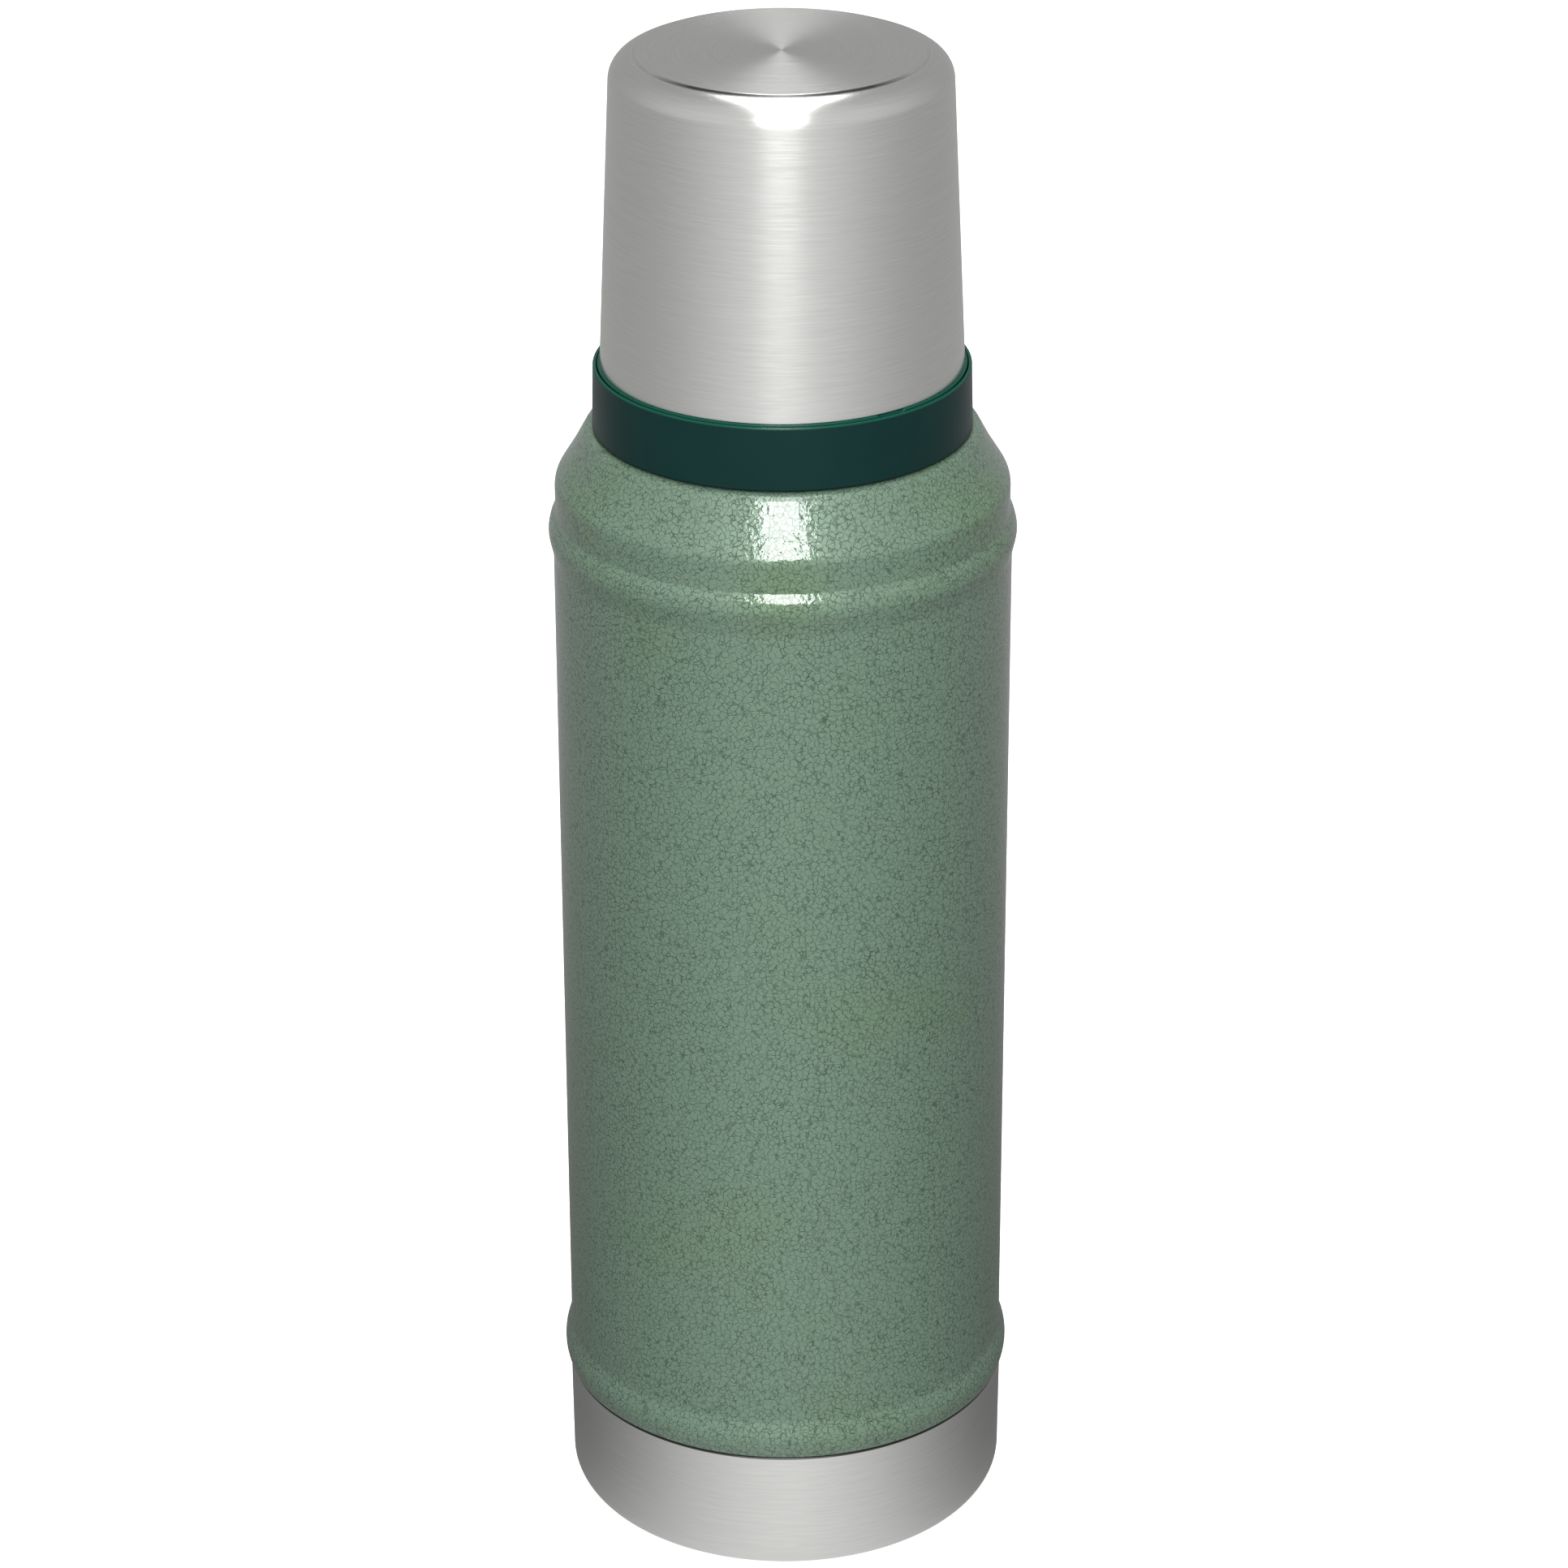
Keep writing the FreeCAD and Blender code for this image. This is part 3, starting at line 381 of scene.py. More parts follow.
def ridge(mesh, wall, crest, foot, rise, lead, root_width, crest_width, starts=1):
    """Right-hand thread ridges on a wall, each tapering into it over its first and last stretch."""
    into_wall = 1 if crest < wall else -1
    root = wall + into_wall * THREAD_BURY
    steps = max(THREAD_STEPS, round(THREAD_SEGMENTS * rise / lead))
    for start in range(starts):
        rings = []
        for step in range(steps + 1):
            tall = min(1, THREAD_END + min(step, steps - step) / THREAD_FADE)
            top = wall + (crest - wall) * tall
            bevel = top - (top - wall) * THREAD_BEVEL
            angle = 2 * math.pi * (step / THREAD_SEGMENTS + start / starts)
            height = foot + lead * step / THREAD_SEGMENTS
            section = ((root, -root_width / 2), (wall, -root_width / 2),
                       (bevel, -crest_width / 2), (top, -crest_width / 3),
                       (top, crest_width / 3), (bevel, crest_width / 2),
                       (wall, root_width / 2), (root, root_width / 2))
            rings.append([mesh.verts.new((r * math.cos(angle), r * math.sin(angle), height + up))
                          for r, up in section])
        count = len(rings[0])
        for ring, other in zip(rings, rings[1:]):
            for k in range(count):
                after = (k + 1) % count
                mesh.faces.new((ring[k], ring[after], other[after], other[k]))
        mesh.faces.new(rings[0])
        mesh.faces.new(rings[-1])


def finish_piece(name, mesh, body, nodes, material):
    """Make the bmesh a smooth object that rides on a body and stands for its CAD nodes."""
    bmesh.ops.recalc_face_normals(mesh, faces=mesh.faces)
    data = bpy.data.meshes.new(name)
    mesh.to_mesh(data)
    mesh.free()
    data.shade_smooth()
    data.set_sharp_from_angle(angle=SHARP)
    data.materials.append(material)
    piece = bpy.data.objects.new(name, data)
    bpy.context.scene.collection.objects.link(piece)
    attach(piece, body)
    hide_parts(*nodes)


# Material helpers

def new_material(name, base, roughness, metallic=0.0):
    """A material with its shader's constants set, and the shader."""
    material = bpy.data.materials.new(name)
    material.use_nodes = True
    shader = material.node_tree.nodes["Principled BSDF"]
    shader.inputs["Base Color"].default_value = (*base, 1)
    shader.inputs["Roughness"].default_value = roughness
    shader.inputs["Metallic"].default_value = metallic
    material.diffuse_color = (*base, 1)
    return material, shader


def add_node(material, kind, inputs=None, **settings):
    """A node with its settings, whose inputs are given numbers or linked from sockets."""
    node = material.node_tree.nodes.new(kind)
    for name, value in settings.items():
        setattr(node, name, value)
    for key, value in (inputs or {}).items():
        if isinstance(value, bpy.types.NodeSocket):
            material.node_tree.links.new(value, node.inputs[key])
        else:
            node.inputs[key].default_value = value
    return node


def math_node(material, operation, first, second=0.0):
    return add_node(material, "ShaderNodeMath", {0: first, 1: second},
                    operation=operation).outputs[0]


def remap(material, value, low_in, high_in, low_out, high_out):
    return add_node(material, "ShaderNodeMapRange", {
        "Value": value, "From Min": low_in, "From Max": high_in, "To Min": low_out,
        "To Max": high_out}).outputs["Result"]


def mix_colour(material, factor, first, second):
    """Colour mix whose two sides are colours or sockets."""
    sides = [side if isinstance(side, bpy.types.NodeSocket) else (*side, 1) for side in (first, second)]
    return add_node(material, "ShaderNodeMix", {"Factor": factor, 6: sides[0], 7: sides[1]},
                    data_type="RGBA").outputs[2]


def noise_node(material, vector, scale, detail=2.0, roughness=0.5):
    return add_node(material, "ShaderNodeTexNoise", {
        "Vector": vector, "Scale": scale, "Detail": detail, "Roughness": roughness})


def object_place(material):
    return add_node(material, "ShaderNodeTexCoord").outputs["Object"]


def link(material, source, shader, name):
    material.node_tree.links.new(source, shader.inputs[name])


def bump(material, height, depth):
    return add_node(material, "ShaderNodeBump", {
        "Height": height, "Distance": depth, "Strength": 1.0}).outputs["Normal"]


def tinted(base, factor):
    """A colour made lighter or darker by a factor."""
    return [min(1, channel * factor) for channel in base]


# Materials

def hammertone_paint():
    """Glossy hammered paint: pebbled cells, broken darker veins between them, warm patches."""
    finish = bpy.context.scene.flask_finishes
    material, shader = new_material("hammertone_paint", finish.paint, 0.45, 0.2)
    place = object_place(material)
    wobble = noise_node(material, place, 0.9 / finish.cell, 3.0, 0.6)
    offset = add_node(material, "ShaderNodeVectorMath", {
        0: wobble.outputs["Color"], 1: (0.5, 0.5, 0.5)}, operation="SUBTRACT").outputs[0]
    pushed = add_node(material, "ShaderNodeVectorMath", {
        0: offset, 1: (finish.cell * 1.1,) * 3, 2: place}, operation="MULTIPLY_ADD").outputs[0]
    cells = add_node(material, "ShaderNodeTexVoronoi", {
        "Vector": pushed, "Scale": 1 / finish.cell}, feature="DISTANCE_TO_EDGE").outputs["Distance"]
    gaps = noise_node(material, place, 1.1 / finish.cell, 2.0).outputs["Fac"]
    patch = noise_node(material, place, 0.12 / finish.cell, 2.0).outputs["Fac"]
    broken = remap(material, gaps, 0.32, 0.62, 0.25, 1.0)
    weight = remap(material, patch, 0.35, 0.65, 0.85, 1.0)
    vein = remap(material, cells, 0.01, 0.11, 1.0, 0.0)
    veins = math_node(material, "MULTIPLY", math_node(material, "MULTIPLY", vein, broken), weight)
    clouds = noise_node(material, place, 26.0, 2.0).outputs["Fac"]
    drift = remap(material, clouds, 0.56, 0.76, 0.0, 0.8)
    stain = add_node(material, "ShaderNodeVectorMath", {
        0: place, 1: (0.0, -reach("outer_shoulder"), low("outer_shoulder") - finish.warm_drop)},
        operation="DISTANCE").outputs["Value"]
    warm = math_node(material, "MAXIMUM", drift, remap(
        material, stain, finish.warm_core, finish.warm_edge, 0.9, 0.0))
    ground = mix_colour(material, warm, finish.paint, finish.paint_warm)
    grain = noise_node(material, place, 2.6 / finish.cell, 3.0, 0.6).outputs["Fac"]
    lively = mix_colour(material, remap(material, grain, 0.35, 0.68, 0.0, 0.8), ground,
                        tinted(finish.paint, 1.22))
    link(material, mix_colour(material, veins, lively, finish.paint_vein), shader, "Base Color")
    dents = noise_node(material, place, 0.8 / finish.cell, 2.0).outputs["Fac"]
    relief = math_node(material, "SUBTRACT", math_node(material, "MULTIPLY", grain, 0.35), veins)
    link(material, bump(material, relief, finish.pebble_depth), shader, "Normal")
    link(material, bump(material, dents, finish.dent_depth), shader, "Coat Normal")
    shader.inputs["Coat Weight"].default_value = 0.9
    shader.inputs["Coat IOR"].default_value = 1.45
    shader.inputs["Coat Roughness"].default_value = 0.05
    shader.inputs["Specular IOR Level"].default_value = 0.3
    return material


def brushed_steel(name, corner_sign, crease, painted_shade_back):
    """Steel brushed round its axis; crease is the radius, height and half width of a ring painted near
    black as shade, and made rougher.

    The last argument is how much of that painted shade is left at the sides and the back.
    """
    finish = bpy.context.scene.flask_finishes
    roughness = finish.steel_roughness
    material, shader = new_material(name, finish.steel, roughness, 1.0)
    place = object_place(material)
    split = add_node(material, "ShaderNodeSeparateXYZ", {"Vector": place})
    flat = add_node(material, "ShaderNodeCombineXYZ", {
        "X": split.outputs["X"], "Y": split.outputs["Y"]}).outputs[0]
    radius = add_node(material, "ShaderNodeVectorMath", {0: flat}, operation="LENGTH").outputs["Value"]
    across = math_node(material, "ADD", split.outputs["Z"],
                       math_node(material, "MULTIPLY", radius, corner_sign))

    def streaks(spacing, run):
        line = add_node(material, "ShaderNodeCombineXYZ", {
            "X": math_node(material, "MULTIPLY", split.outputs["X"], 1 / run),
            "Y": math_node(material, "MULTIPLY", split.outputs["Y"], 1 / run),
            "Z": math_node(material, "MULTIPLY", across, 1 / spacing)}).outputs[0]
        return noise_node(material, line, 1.0).outputs["Fac"]

    fine = streaks(finish.brush_line, finish.brush_run)
    broad = streaks(finish.brush_line * 2.5, finish.brush_run * 2)
    grain = math_node(material, "ADD", math_node(material, "MULTIPLY", fine, 0.6),
                      math_node(material, "MULTIPLY", broad, 0.4))
    tone = mix_colour(material, remap(material, grain, 0.35, 0.65, 0, 1),
                      tinted(finish.steel, 0.96), tinted(finish.steel, 1.03))
    dullness = remap(material, grain, 0.3, 0.7, roughness * 0.9, roughness * 1.1)
    # The ring given by crease is painted near black as shade and made rougher; facing keeps that painted
    # shade full at the front (-Y) and leaves the last argument's share of it at the sides and back.
    ring, height, half = crease
    aside = math_node(material, "ABSOLUTE", math_node(material, "SUBTRACT", radius, ring))
    above = math_node(material, "ABSOLUTE", math_node(
        material, "SUBTRACT", split.outputs["Z"], height))
    facing = math_node(material, "DIVIDE", split.outputs["Y"], math_node(
        material, "MAXIMUM", radius, 0.001))
    painted_shade_mask = math_node(material, "MULTIPLY", math_node(
        material, "MULTIPLY", remap(material, aside, half, half * 1.5, 1.0, 0.0),
        remap(material, above, half, half * 1.3, 1.0, 0.0)),
        remap(material, facing, -0.8, -0.5, 1.0, painted_shade_back))
    tone = mix_colour(material, painted_shade_mask, tone, (0.09, 0.09, 0.09))
    dullness = math_node(material, "MAXIMUM", dullness, math_node(material, "MULTIPLY", painted_shade_mask, 0.5))
    link(material, tone, shader, "Base Color")
    link(material, dullness, shader, "Roughness")
    link(material, bump(material, grain, finish.brush_depth), shader, "Normal")
    tangent = add_node(material, "ShaderNodeTangent", direction_type="RADIAL", axis="Z").outputs[0]
    link(material, tangent, shader, "Tangent")
    shader.inputs["Anisotropic"].default_value = finish.steel_anisotropy
    shader.inputs["Anisotropic Rotation"].default_value = 0.25
    return material


def bare_steel():
    """Drawn steel that isn't brushed: soft, faintly cloudy, with drawing lines along the axis."""
    finish = bpy.context.scene.flask_finishes
    material, shader = new_material("bare_steel", finish.steel, 0.26, 1.0)
    place = object_place(material)
    clouds = noise_node(material, place, 90.0, 4.0).outputs["Fac"]
    stretch = add_node(material, "ShaderNodeMapping", {
        "Vector": place, "Scale": (2500, 2500, 60)}).outputs[0]
    lines = noise_node(material, stretch, 1.0, 2.0).outputs["Fac"]
    link(material, mix_colour(material, clouds, finish.steel, tinted(finish.steel, 0.9)), shader,
         "Base Color")
    link(material, remap(material, clouds, 0.3, 0.7, 0.2, 0.34), shader, "Roughness")
    link(material, bump(material, lines, 0.000008), shader, "Normal")
    return material


def moulded_plastic(name, base, roughness, grain_depth, edges=()):
    """Moulded plastic: a faint flow tint, fine grain, uneven gloss, and painted highlights as paler bands
    at the edges' heights.
    """
    finish = bpy.context.scene.flask_finishes
    material, shader = new_material(name, base, roughness)
    place = object_place(material)
    flow = noise_node(material, place, 45.0, 3.0).outputs["Fac"]
    tone = mix_colour(material, flow, tinted(base, 0.85), tinted(base, 1.25))
    # The paler bands at the heights in edges are painted highlights along the rims.
    pale = (base[0] * 1.5, base[1] * 2.6, base[2] * 1.9)
    level = add_node(material, "ShaderNodeSeparateXYZ", {"Vector": place}).outputs["Z"]
    for edge in edges:
        above = math_node(material, "ABSOLUTE", math_node(material, "SUBTRACT", level, edge))
        tone = mix_colour(material, remap(
            material, above, finish.highlight_core, finish.highlight_fade, 1.0, 0.0), tone, pale)
    link(material, tone, shader, "Base Color")
    link(material, remap(material, flow, 0.3, 0.7, roughness * 0.85, roughness * 1.2), shader,
         "Roughness")
    grain = noise_node(material, place, 4200.0, 2.0).outputs["Fac"]
    link(material, bump(material, grain, grain_depth), shader, "Normal")
    shader.inputs["Specular IOR Level"].default_value = 0.12
    return material


def silicone():
    """Soft seal: dull, faintly dusty, with a faint sheen."""
    base, dusty = (0.055, 0.056, 0.058), (0.10, 0.10, 0.10)
    material, shader = new_material("silicone", base, 0.6)
    place = object_place(material)
    dust = noise_node(material, place, 700.0, 4.0).outputs["Fac"]
    link(material, mix_colour(material, remap(material, dust, 0.45, 0.7, 0, 0.5), base, dusty), shader,
         "Base Color")
    link(material, bump(material, dust, 0.00003), shader, "Normal")
    shader.inputs["Sheen Weight"].default_value = 0.2
    return material


def foam():
    """Closed-cell foam: pale, matt and pitted."""
    base, pit = (0.74, 0.71, 0.60), (0.60, 0.56, 0.45)
    material, shader = new_material("foam", base, 0.9)
    place = object_place(material)
    cells = add_node(material, "ShaderNodeTexVoronoi", {"Vector": place, "Scale": 900.0}).outputs[0]
    link(material, mix_colour(material, remap(material, cells, 0.1, 0.7, 0, 1), base, pit), shader,
         "Base Color")
    link(material, bump(material, cells, 0.0003), shader, "Normal")
    return material


def metal(name, base, roughness, crease_scale, crease_depth):
    """Plain metal with an uneven skin, for foil, solder and the getter."""
    material, shader = new_material(name, base, roughness, 1.0)
    place = object_place(material)
    crease = noise_node(material, place, crease_scale, 5.0).outputs["Fac"]
    link(material, mix_colour(material, remap(material, crease, 0.3, 0.7, 0, 1), tinted(base, 0.75),
                              base), shader, "Base Color")
    link(material, remap(material, crease, 0.3, 0.7, roughness * 0.7, roughness * 1.4), shader,
         "Roughness")
    link(material, bump(material, crease, crease_depth), shader, "Normal")
    return material


def cup_steel():
    """Brushed steel of the cup, with painted shade as a dark ring round its disc, full at the front and
    faint at the sides and back.
    """
    size = bpy.context.scene.flask_cup
    crease = (size.disc_radius + size.crease_out, high("cup_shell") - size.crease_drop, size.crease_half)
    return brushed_steel("cup_steel", -1, crease, 0.1)


def base_steel():
    """Brushed steel of the base cup, with painted shade as a dark, rougher ring on its rim, in the seam
    under the painted bead.
    """
    size = bpy.context.scene.flask_base
    crease = (reach("base_cup") - size.shade_ring_inset, high("base_cup") + size.shade_ring_rise, size.shade_ring_half)
    return brushed_steel("base_steel", 1, crease, 1.0)


def green_plastic():
    """Dark green plastic of the collar and the cup's ring, with painted highlights as paler bands on the
    collar's rim and the lip.
    """
    scene = bpy.context.scene
    edges = (low("neck_collar") + scene.flask_collar.rim_height, low("cup_shell"))
    return moulded_plastic("green_plastic", scene.flask_finishes.green, 0.32, 0.000004, edges)


MAKERS = {
    "hammertone_paint": hammertone_paint,
    "cup_steel": cup_steel,
    "base_steel": base_steel,
    "bare_steel": bare_steel,
    "green_plastic": green_plastic,
    "black_plastic": lambda: moulded_plastic(
        "black_plastic", bpy.context.scene.flask_finishes.black, 0.4, 0.00001),
    "silicone": silicone,
    "foam": foam,
    "copper_foil": lambda: metal("copper_foil", (0.80, 0.42, 0.28), 0.22, 160.0, 0.0004),
    "getter_metal": lambda: metal("getter_metal", (0.22, 0.22, 0.23), 0.6, 1500.0, 0.0001),
    "solder": lambda: metal("solder", (0.55, 0.55, 0.56), 0.35, 500.0, 0.0002),
}


def finish_named(name):
    """The finish of this name, made when it is first asked for."""
    return bpy.data.materials.get(name) or MAKERS[name]()


def dress(nodes, material):
    """Give CAD nodes that keep their shape a finish of their own."""
    for name in nodes:
        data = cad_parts[name].data
        data.materials.clear()
        data.materials.append(material)


# Pieces

class FLASK_OT_painted_shell(bpy.types.Operator):
    """Painted shell: skirt, two beads, body, crown, shoulder, land and neck"""
    bl_idname = "flask.painted_shell"
    bl_label = "Painted Shell"

    def execute(self, context):
        size = context.scene.flask_shell
        wall, body = size.wall, size.body_radius
        skirt = body - wall - size.skirt_fit
        skirt_foot, neck_top = low("outer_shell"), high("outer_shoulder")
        seam = high("base_cup") + size.seam
        low_edge, low_crest = body + size.low_bead_edge, body + size.low_bead_rise
        low_middle, low_top = seam + size.low_bead_middle, seam + size.low_bead
        top_foot = low_top + size.body_length
        top_top = top_foot + size.top_bead
        top_middle, top_crest = (top_foot + top_top) / 2, body + size.top_bead_rise
        crown, crown_top = body - size.crown_step, top_top + size.crown_height
        land_height, land = low("collar_gasket"), size.land_radius
        bend = land + (crown - land) * size.shoulder_bend
        bend_height = (crown_top + land_height) / 2
        neck = size.neck_radius
        outside = [
            (skirt, skirt_foot),
            (skirt, seam, size.seam_round),
            (low_edge, seam, size.edge_round),
            (low_crest, low_middle, size.low_bead_round),
            (body, low_top, size.low_bead_blend),
            (body, top_foot, size.top_bead_blend),
            (top_crest, top_middle, size.top_bead_round),
            (body + size.crown_step, top_top - size.top_bead_brow, size.brow_round),
            (crown, top_top - size.top_bead_brow / 3, size.brow_blend),
            (crown, crown_top, size.crown_round),
            (bend, bend_height, size.bend_round),
            (land, land_height, size.land_round),
            (neck, land_height, size.neck_round),
            (neck, neck_top),
        ]
        inside = [
            (neck - wall, neck_top),
            (neck - wall, land_height - wall, size.neck_round + wall),
            (land - wall / 2, land_height - wall, size.land_round - wall),
            (bend - wall, bend_height, size.bend_round - wall),
            (crown - wall, crown_top, size.crown_round - wall),
            (crown - wall, top_top - size.top_bead_brow / 2, size.brow_round),
            (top_crest - wall, top_middle, size.top_bead_round + wall),
            (body - wall, top_foot, size.top_bead_blend + wall),
            (body - wall, low_top, size.low_bead_blend + wall),
            (low_crest - wall, low_middle, size.low_bead_round - wall),
            (low_edge - wall, seam + wall),
            (skirt - wall, seam + wall),
            (skirt - wall, skirt_foot),
        ]
        mesh = bmesh.new()
        spin(mesh, rounded(outside + inside))
        finish_piece("painted_shell", mesh, "bottle", ("outer_shell", "outer_shoulder"),
                     finish_named("hammertone_paint"))
        return {"FINISHED"}


class FLASK_OT_base_cup(bpy.types.Operator):
    """Brushed cup over the bottom of the shell, with a recess inside its foot"""
    bl_idname = "flask.base_cup"
    bl_label = "Base Cup"

    def execute(self, context):
        size, wall = context.scene.flask_base, context.scene.flask_shell.wall
        body, top = context.scene.flask_shell.body_radius, high("base_cup")
        mouth, foot = body + size.flare, body - size.corner - size.foot
        panel = foot - size.recess
        mesh = bmesh.new()
        spin(mesh, rounded([
            (0, size.recess),
            (panel, size.recess, size.foot_round),
            (foot, 0, size.foot_round),
            (body, 0, size.corner),
            (mouth, top, size.mouth_round),
            (mouth - wall, top, size.mouth_round),
            (body - wall, wall, size.corner - wall),
            (foot + wall / 2, wall, size.foot_round),
            (panel + wall / 2, size.recess + wall, size.foot_round),
            (0, size.recess + wall),
        ]))
        finish_piece("base_cup_steel", mesh, "bottle", ("base_cup",), finish_named("base_steel"))
        return {"FINISHED"}


class FLASK_OT_neck_collar(bpy.types.Operator):
    """Moulded collar: a rim round the cup's mouth, a groove, and the threaded spigot"""
    bl_idname = "flask.neck_collar"
    bl_label = "Neck Collar"

    def execute(self, context):
        size, thread = context.scene.flask_collar, context.scene.flask_threads
        land, bottom, top = low("collar_gasket"), low("neck_collar"), high("neck_collar")
        rim_top = bottom + size.rim_height
        groove, web_low = land + size.groove_floor, land + size.groove_floor - size.web
        rim_inner = size.rim_radius
        rim_outer = rim_inner + size.rim_wall
        skirt_outer = rim_outer + size.rim_taper
        skirt_inner = skirt_outer - size.skirt_wall
        bore = context.scene.flask_shell.neck_radius + size.bore_fit
        spigot = bore + size.spigot_wall
        seal_edge = bore + size.seal_width
        wall_edge = seal_edge + size.seal_wall
        mesh = bmesh.new()
        spin(mesh, rounded([
            (bore, high("collar_gasket")),
            (seal_edge, high("collar_gasket")),
            (seal_edge, bottom),
            (wall_edge, bottom, size.small_round),
            (wall_edge, web_low),
            (skirt_inner, web_low),
            (skirt_inner, bottom, size.small_round),
            (skirt_outer, bottom, size.skirt_round),
            (rim_outer, rim_top, size.rim_round),
            (rim_inner, rim_top, size.small_round),
            (rim_inner, groove, size.groove_round),
            (spigot, groove, size.groove_round),
            (spigot, top, size.groove_round),
            (bore, top, size.bore_round),
        ]))
        ridge(mesh, spigot, spigot + thread.cup_depth, groove + thread.cup_start, thread.cup_rise,
              thread.cup_lead, thread.cup_root, thread.cup_crest, thread.cup_starts)
        finish_piece("neck_collar_plastic", mesh, "bottle", ("neck_collar",),
                     finish_named("green_plastic"))
        return {"FINISHED"}


class FLASK_OT_drinking_cup(bpy.types.Operator):
    """Drinking cup, upside down: steel shell, steel liner, and the plastic ring in its mouth"""
    bl_idname = "flask.drinking_cup"
    bl_label = "Drinking Cup"

    def shell(self, size, wall, mouth):
        seat, top = low("cup_shell"), high("cup_shell")
        side, ledge = mouth - size.draft, top - size.disc_step
        disc_edge = size.disc_radius + size.disc_step / 2
        mesh = bmesh.new()
        spin(mesh, rounded([
            (mouth, seat, size.steel_round),
            (side, ledge, size.corner),
            (disc_edge, ledge, size.step_round),
            (size.disc_radius, top, size.steel_round),
            (0, top),
            (0, top - wall),
            (size.disc_radius - wall / 2, top - wall),
            (disc_edge - wall / 2, ledge - wall),
            (side - wall, ledge - wall, size.corner - wall),
            (mouth - wall, seat, size.steel_round),
        ]))
        finish_piece("cup_steel", mesh, "cup", ("cup_shell",), finish_named("cup_steel"))

    def liner(self, size, wall):
        foot, top = low("cup_liner"), high("cup_liner")
        mouth = size.liner_mouth
        side = mouth - size.liner_draft
        mesh = bmesh.new()
        spin(mesh, rounded([
            (mouth, foot),
            (mouth + wall, foot),
            (side + wall, top, size.liner_round + wall),
            (0, top),
            (0, top - wall),
            (side, top - wall, size.liner_round),
        ]))
        finish_piece("cup_liner_steel", mesh, "cup", ("cup_liner",), finish_named("bare_steel"))

    def ring(self, size, thread, wall, mouth):
        seat, foot, top = low("cup_shell"), low("cup_thread_ring"), high("cup_thread_ring")
        boss, boss_top = mouth - wall - size.boss_fit, low("cup_liner")
        lip, lip_low = mouth + size.lip_reach, seat - size.lip_height
        bore, outside = size.ring_bore, size.ring_bore + size.ring_wall
        stem_outer, stem_inner = bore + size.stem_outer, bore - size.stem_inner
        shelf, shelf_low = size.shelf_radius, high("cup_gasket")
        shelf_top = shelf_low + size.shelf_wall
        half_notch = size.notch_width / 2 / mouth

        def notched(radius, height, angle):
            """The lip's top edge, lowered across the notch."""
            away = math.remainder(angle - size.notch_angle, 2 * math.pi)
            if abs(away) < half_notch and radius > mouth:
                return radius, min(height, seat - size.notch_depth)
            return radius, height

        mesh = bmesh.new()
        spin(mesh, rounded([
            (bore, foot, size.foot_round),
            (outside, foot, size.foot_round),
            (outside, lip_low, size.lip_round),
            (lip, lip_low, size.foot_round),
            (lip, seat, size.lip_round),
            (mouth + NOTCH_MARGIN, seat),
            (boss, seat),
            (boss - size.boss_taper, boss_top),
            (stem_outer, boss_top),
            (stem_outer, top, size.stem_round),
            (stem_inner, top, size.stem_round),
            (stem_inner, shelf_top, size.stem_round),
            (shelf, shelf_top, size.stem_round),
            (shelf, shelf_low),
            (bore, shelf_low),
        ]), shape=notched)
        ridge(mesh, bore, bore - thread.cup_depth, seat + thread.ring_start, thread.ring_rise,
              thread.cup_lead, thread.cup_root, thread.cup_crest, thread.cup_starts)
        finish_piece("cup_ring_plastic", mesh, "cup", ("cup_thread_ring",),
                     finish_named("green_plastic"))

    def execute(self, context):
        scene = context.scene
        size, wall = scene.flask_cup, scene.flask_shell.wall
        mouth = size.mouth_radius
        self.shell(size, wall, mouth)
        self.liner(size, wall)
        self.ring(size, scene.flask_threads, wall, mouth)
        return {"FINISHED"}


class FLASK_OT_stopper(bpy.types.Operator):
    """Stopper: scalloped knob over the threaded plug, with its seals"""
    bl_idname = "flask.stopper"
    bl_label = "Stopper"

    def execute(self, context):
        size = context.scene.flask_stopper
        foot, top = low("stopper_knob"), high("stopper_knob")
        outer, inner = size.knob_radius, size.knob_bore
        pitch = 2 * math.pi / size.grips
        half_grip = size.grip_spread * math.sqrt(2 * size.grip_radius * size.grip_depth) / outer

        def scalloped(radius, height, angle):
            """The knob's side, pressed in at each finger grip."""
            away = abs(math.remainder(angle, pitch)) / half_grip
            if away > 1:
                return radius, height
            press = size.grip_depth * (1 + math.cos(math.pi * away)) / 2
            return min(radius, outer - press), height

        mesh = bmesh.new()
        spin(mesh, rounded([
            (inner, foot),
            (outer, foot, size.foot_round),
            (outer - size.knob_draft, top, size.knob_corner),
            (outer * size.dish_edge, top, size.dish_edge_round),
            (outer * size.dish_floor, top - size.dish, size.dish_floor_round),
            (0, top - size.dish),
            (0, top - size.knob_wall),
            (inner - size.knob_draft, top - size.knob_wall, size.knob_corner),
        ]), shape=scalloped)
        finish_piece("stopper_knob_plastic", mesh, "stopper", ("stopper_knob",),
                     finish_named("black_plastic"))
        dress(("stopper_body", "stopper_base_cap"), finish_named("black_plastic"))
        dress(("stopper_insulation",), finish_named("foam"))
        dress(("stopper_lower_seal", "stopper_upper_seal", "collar_gasket", "cup_gasket"),
              finish_named("silicone"))
        return {"FINISHED"}


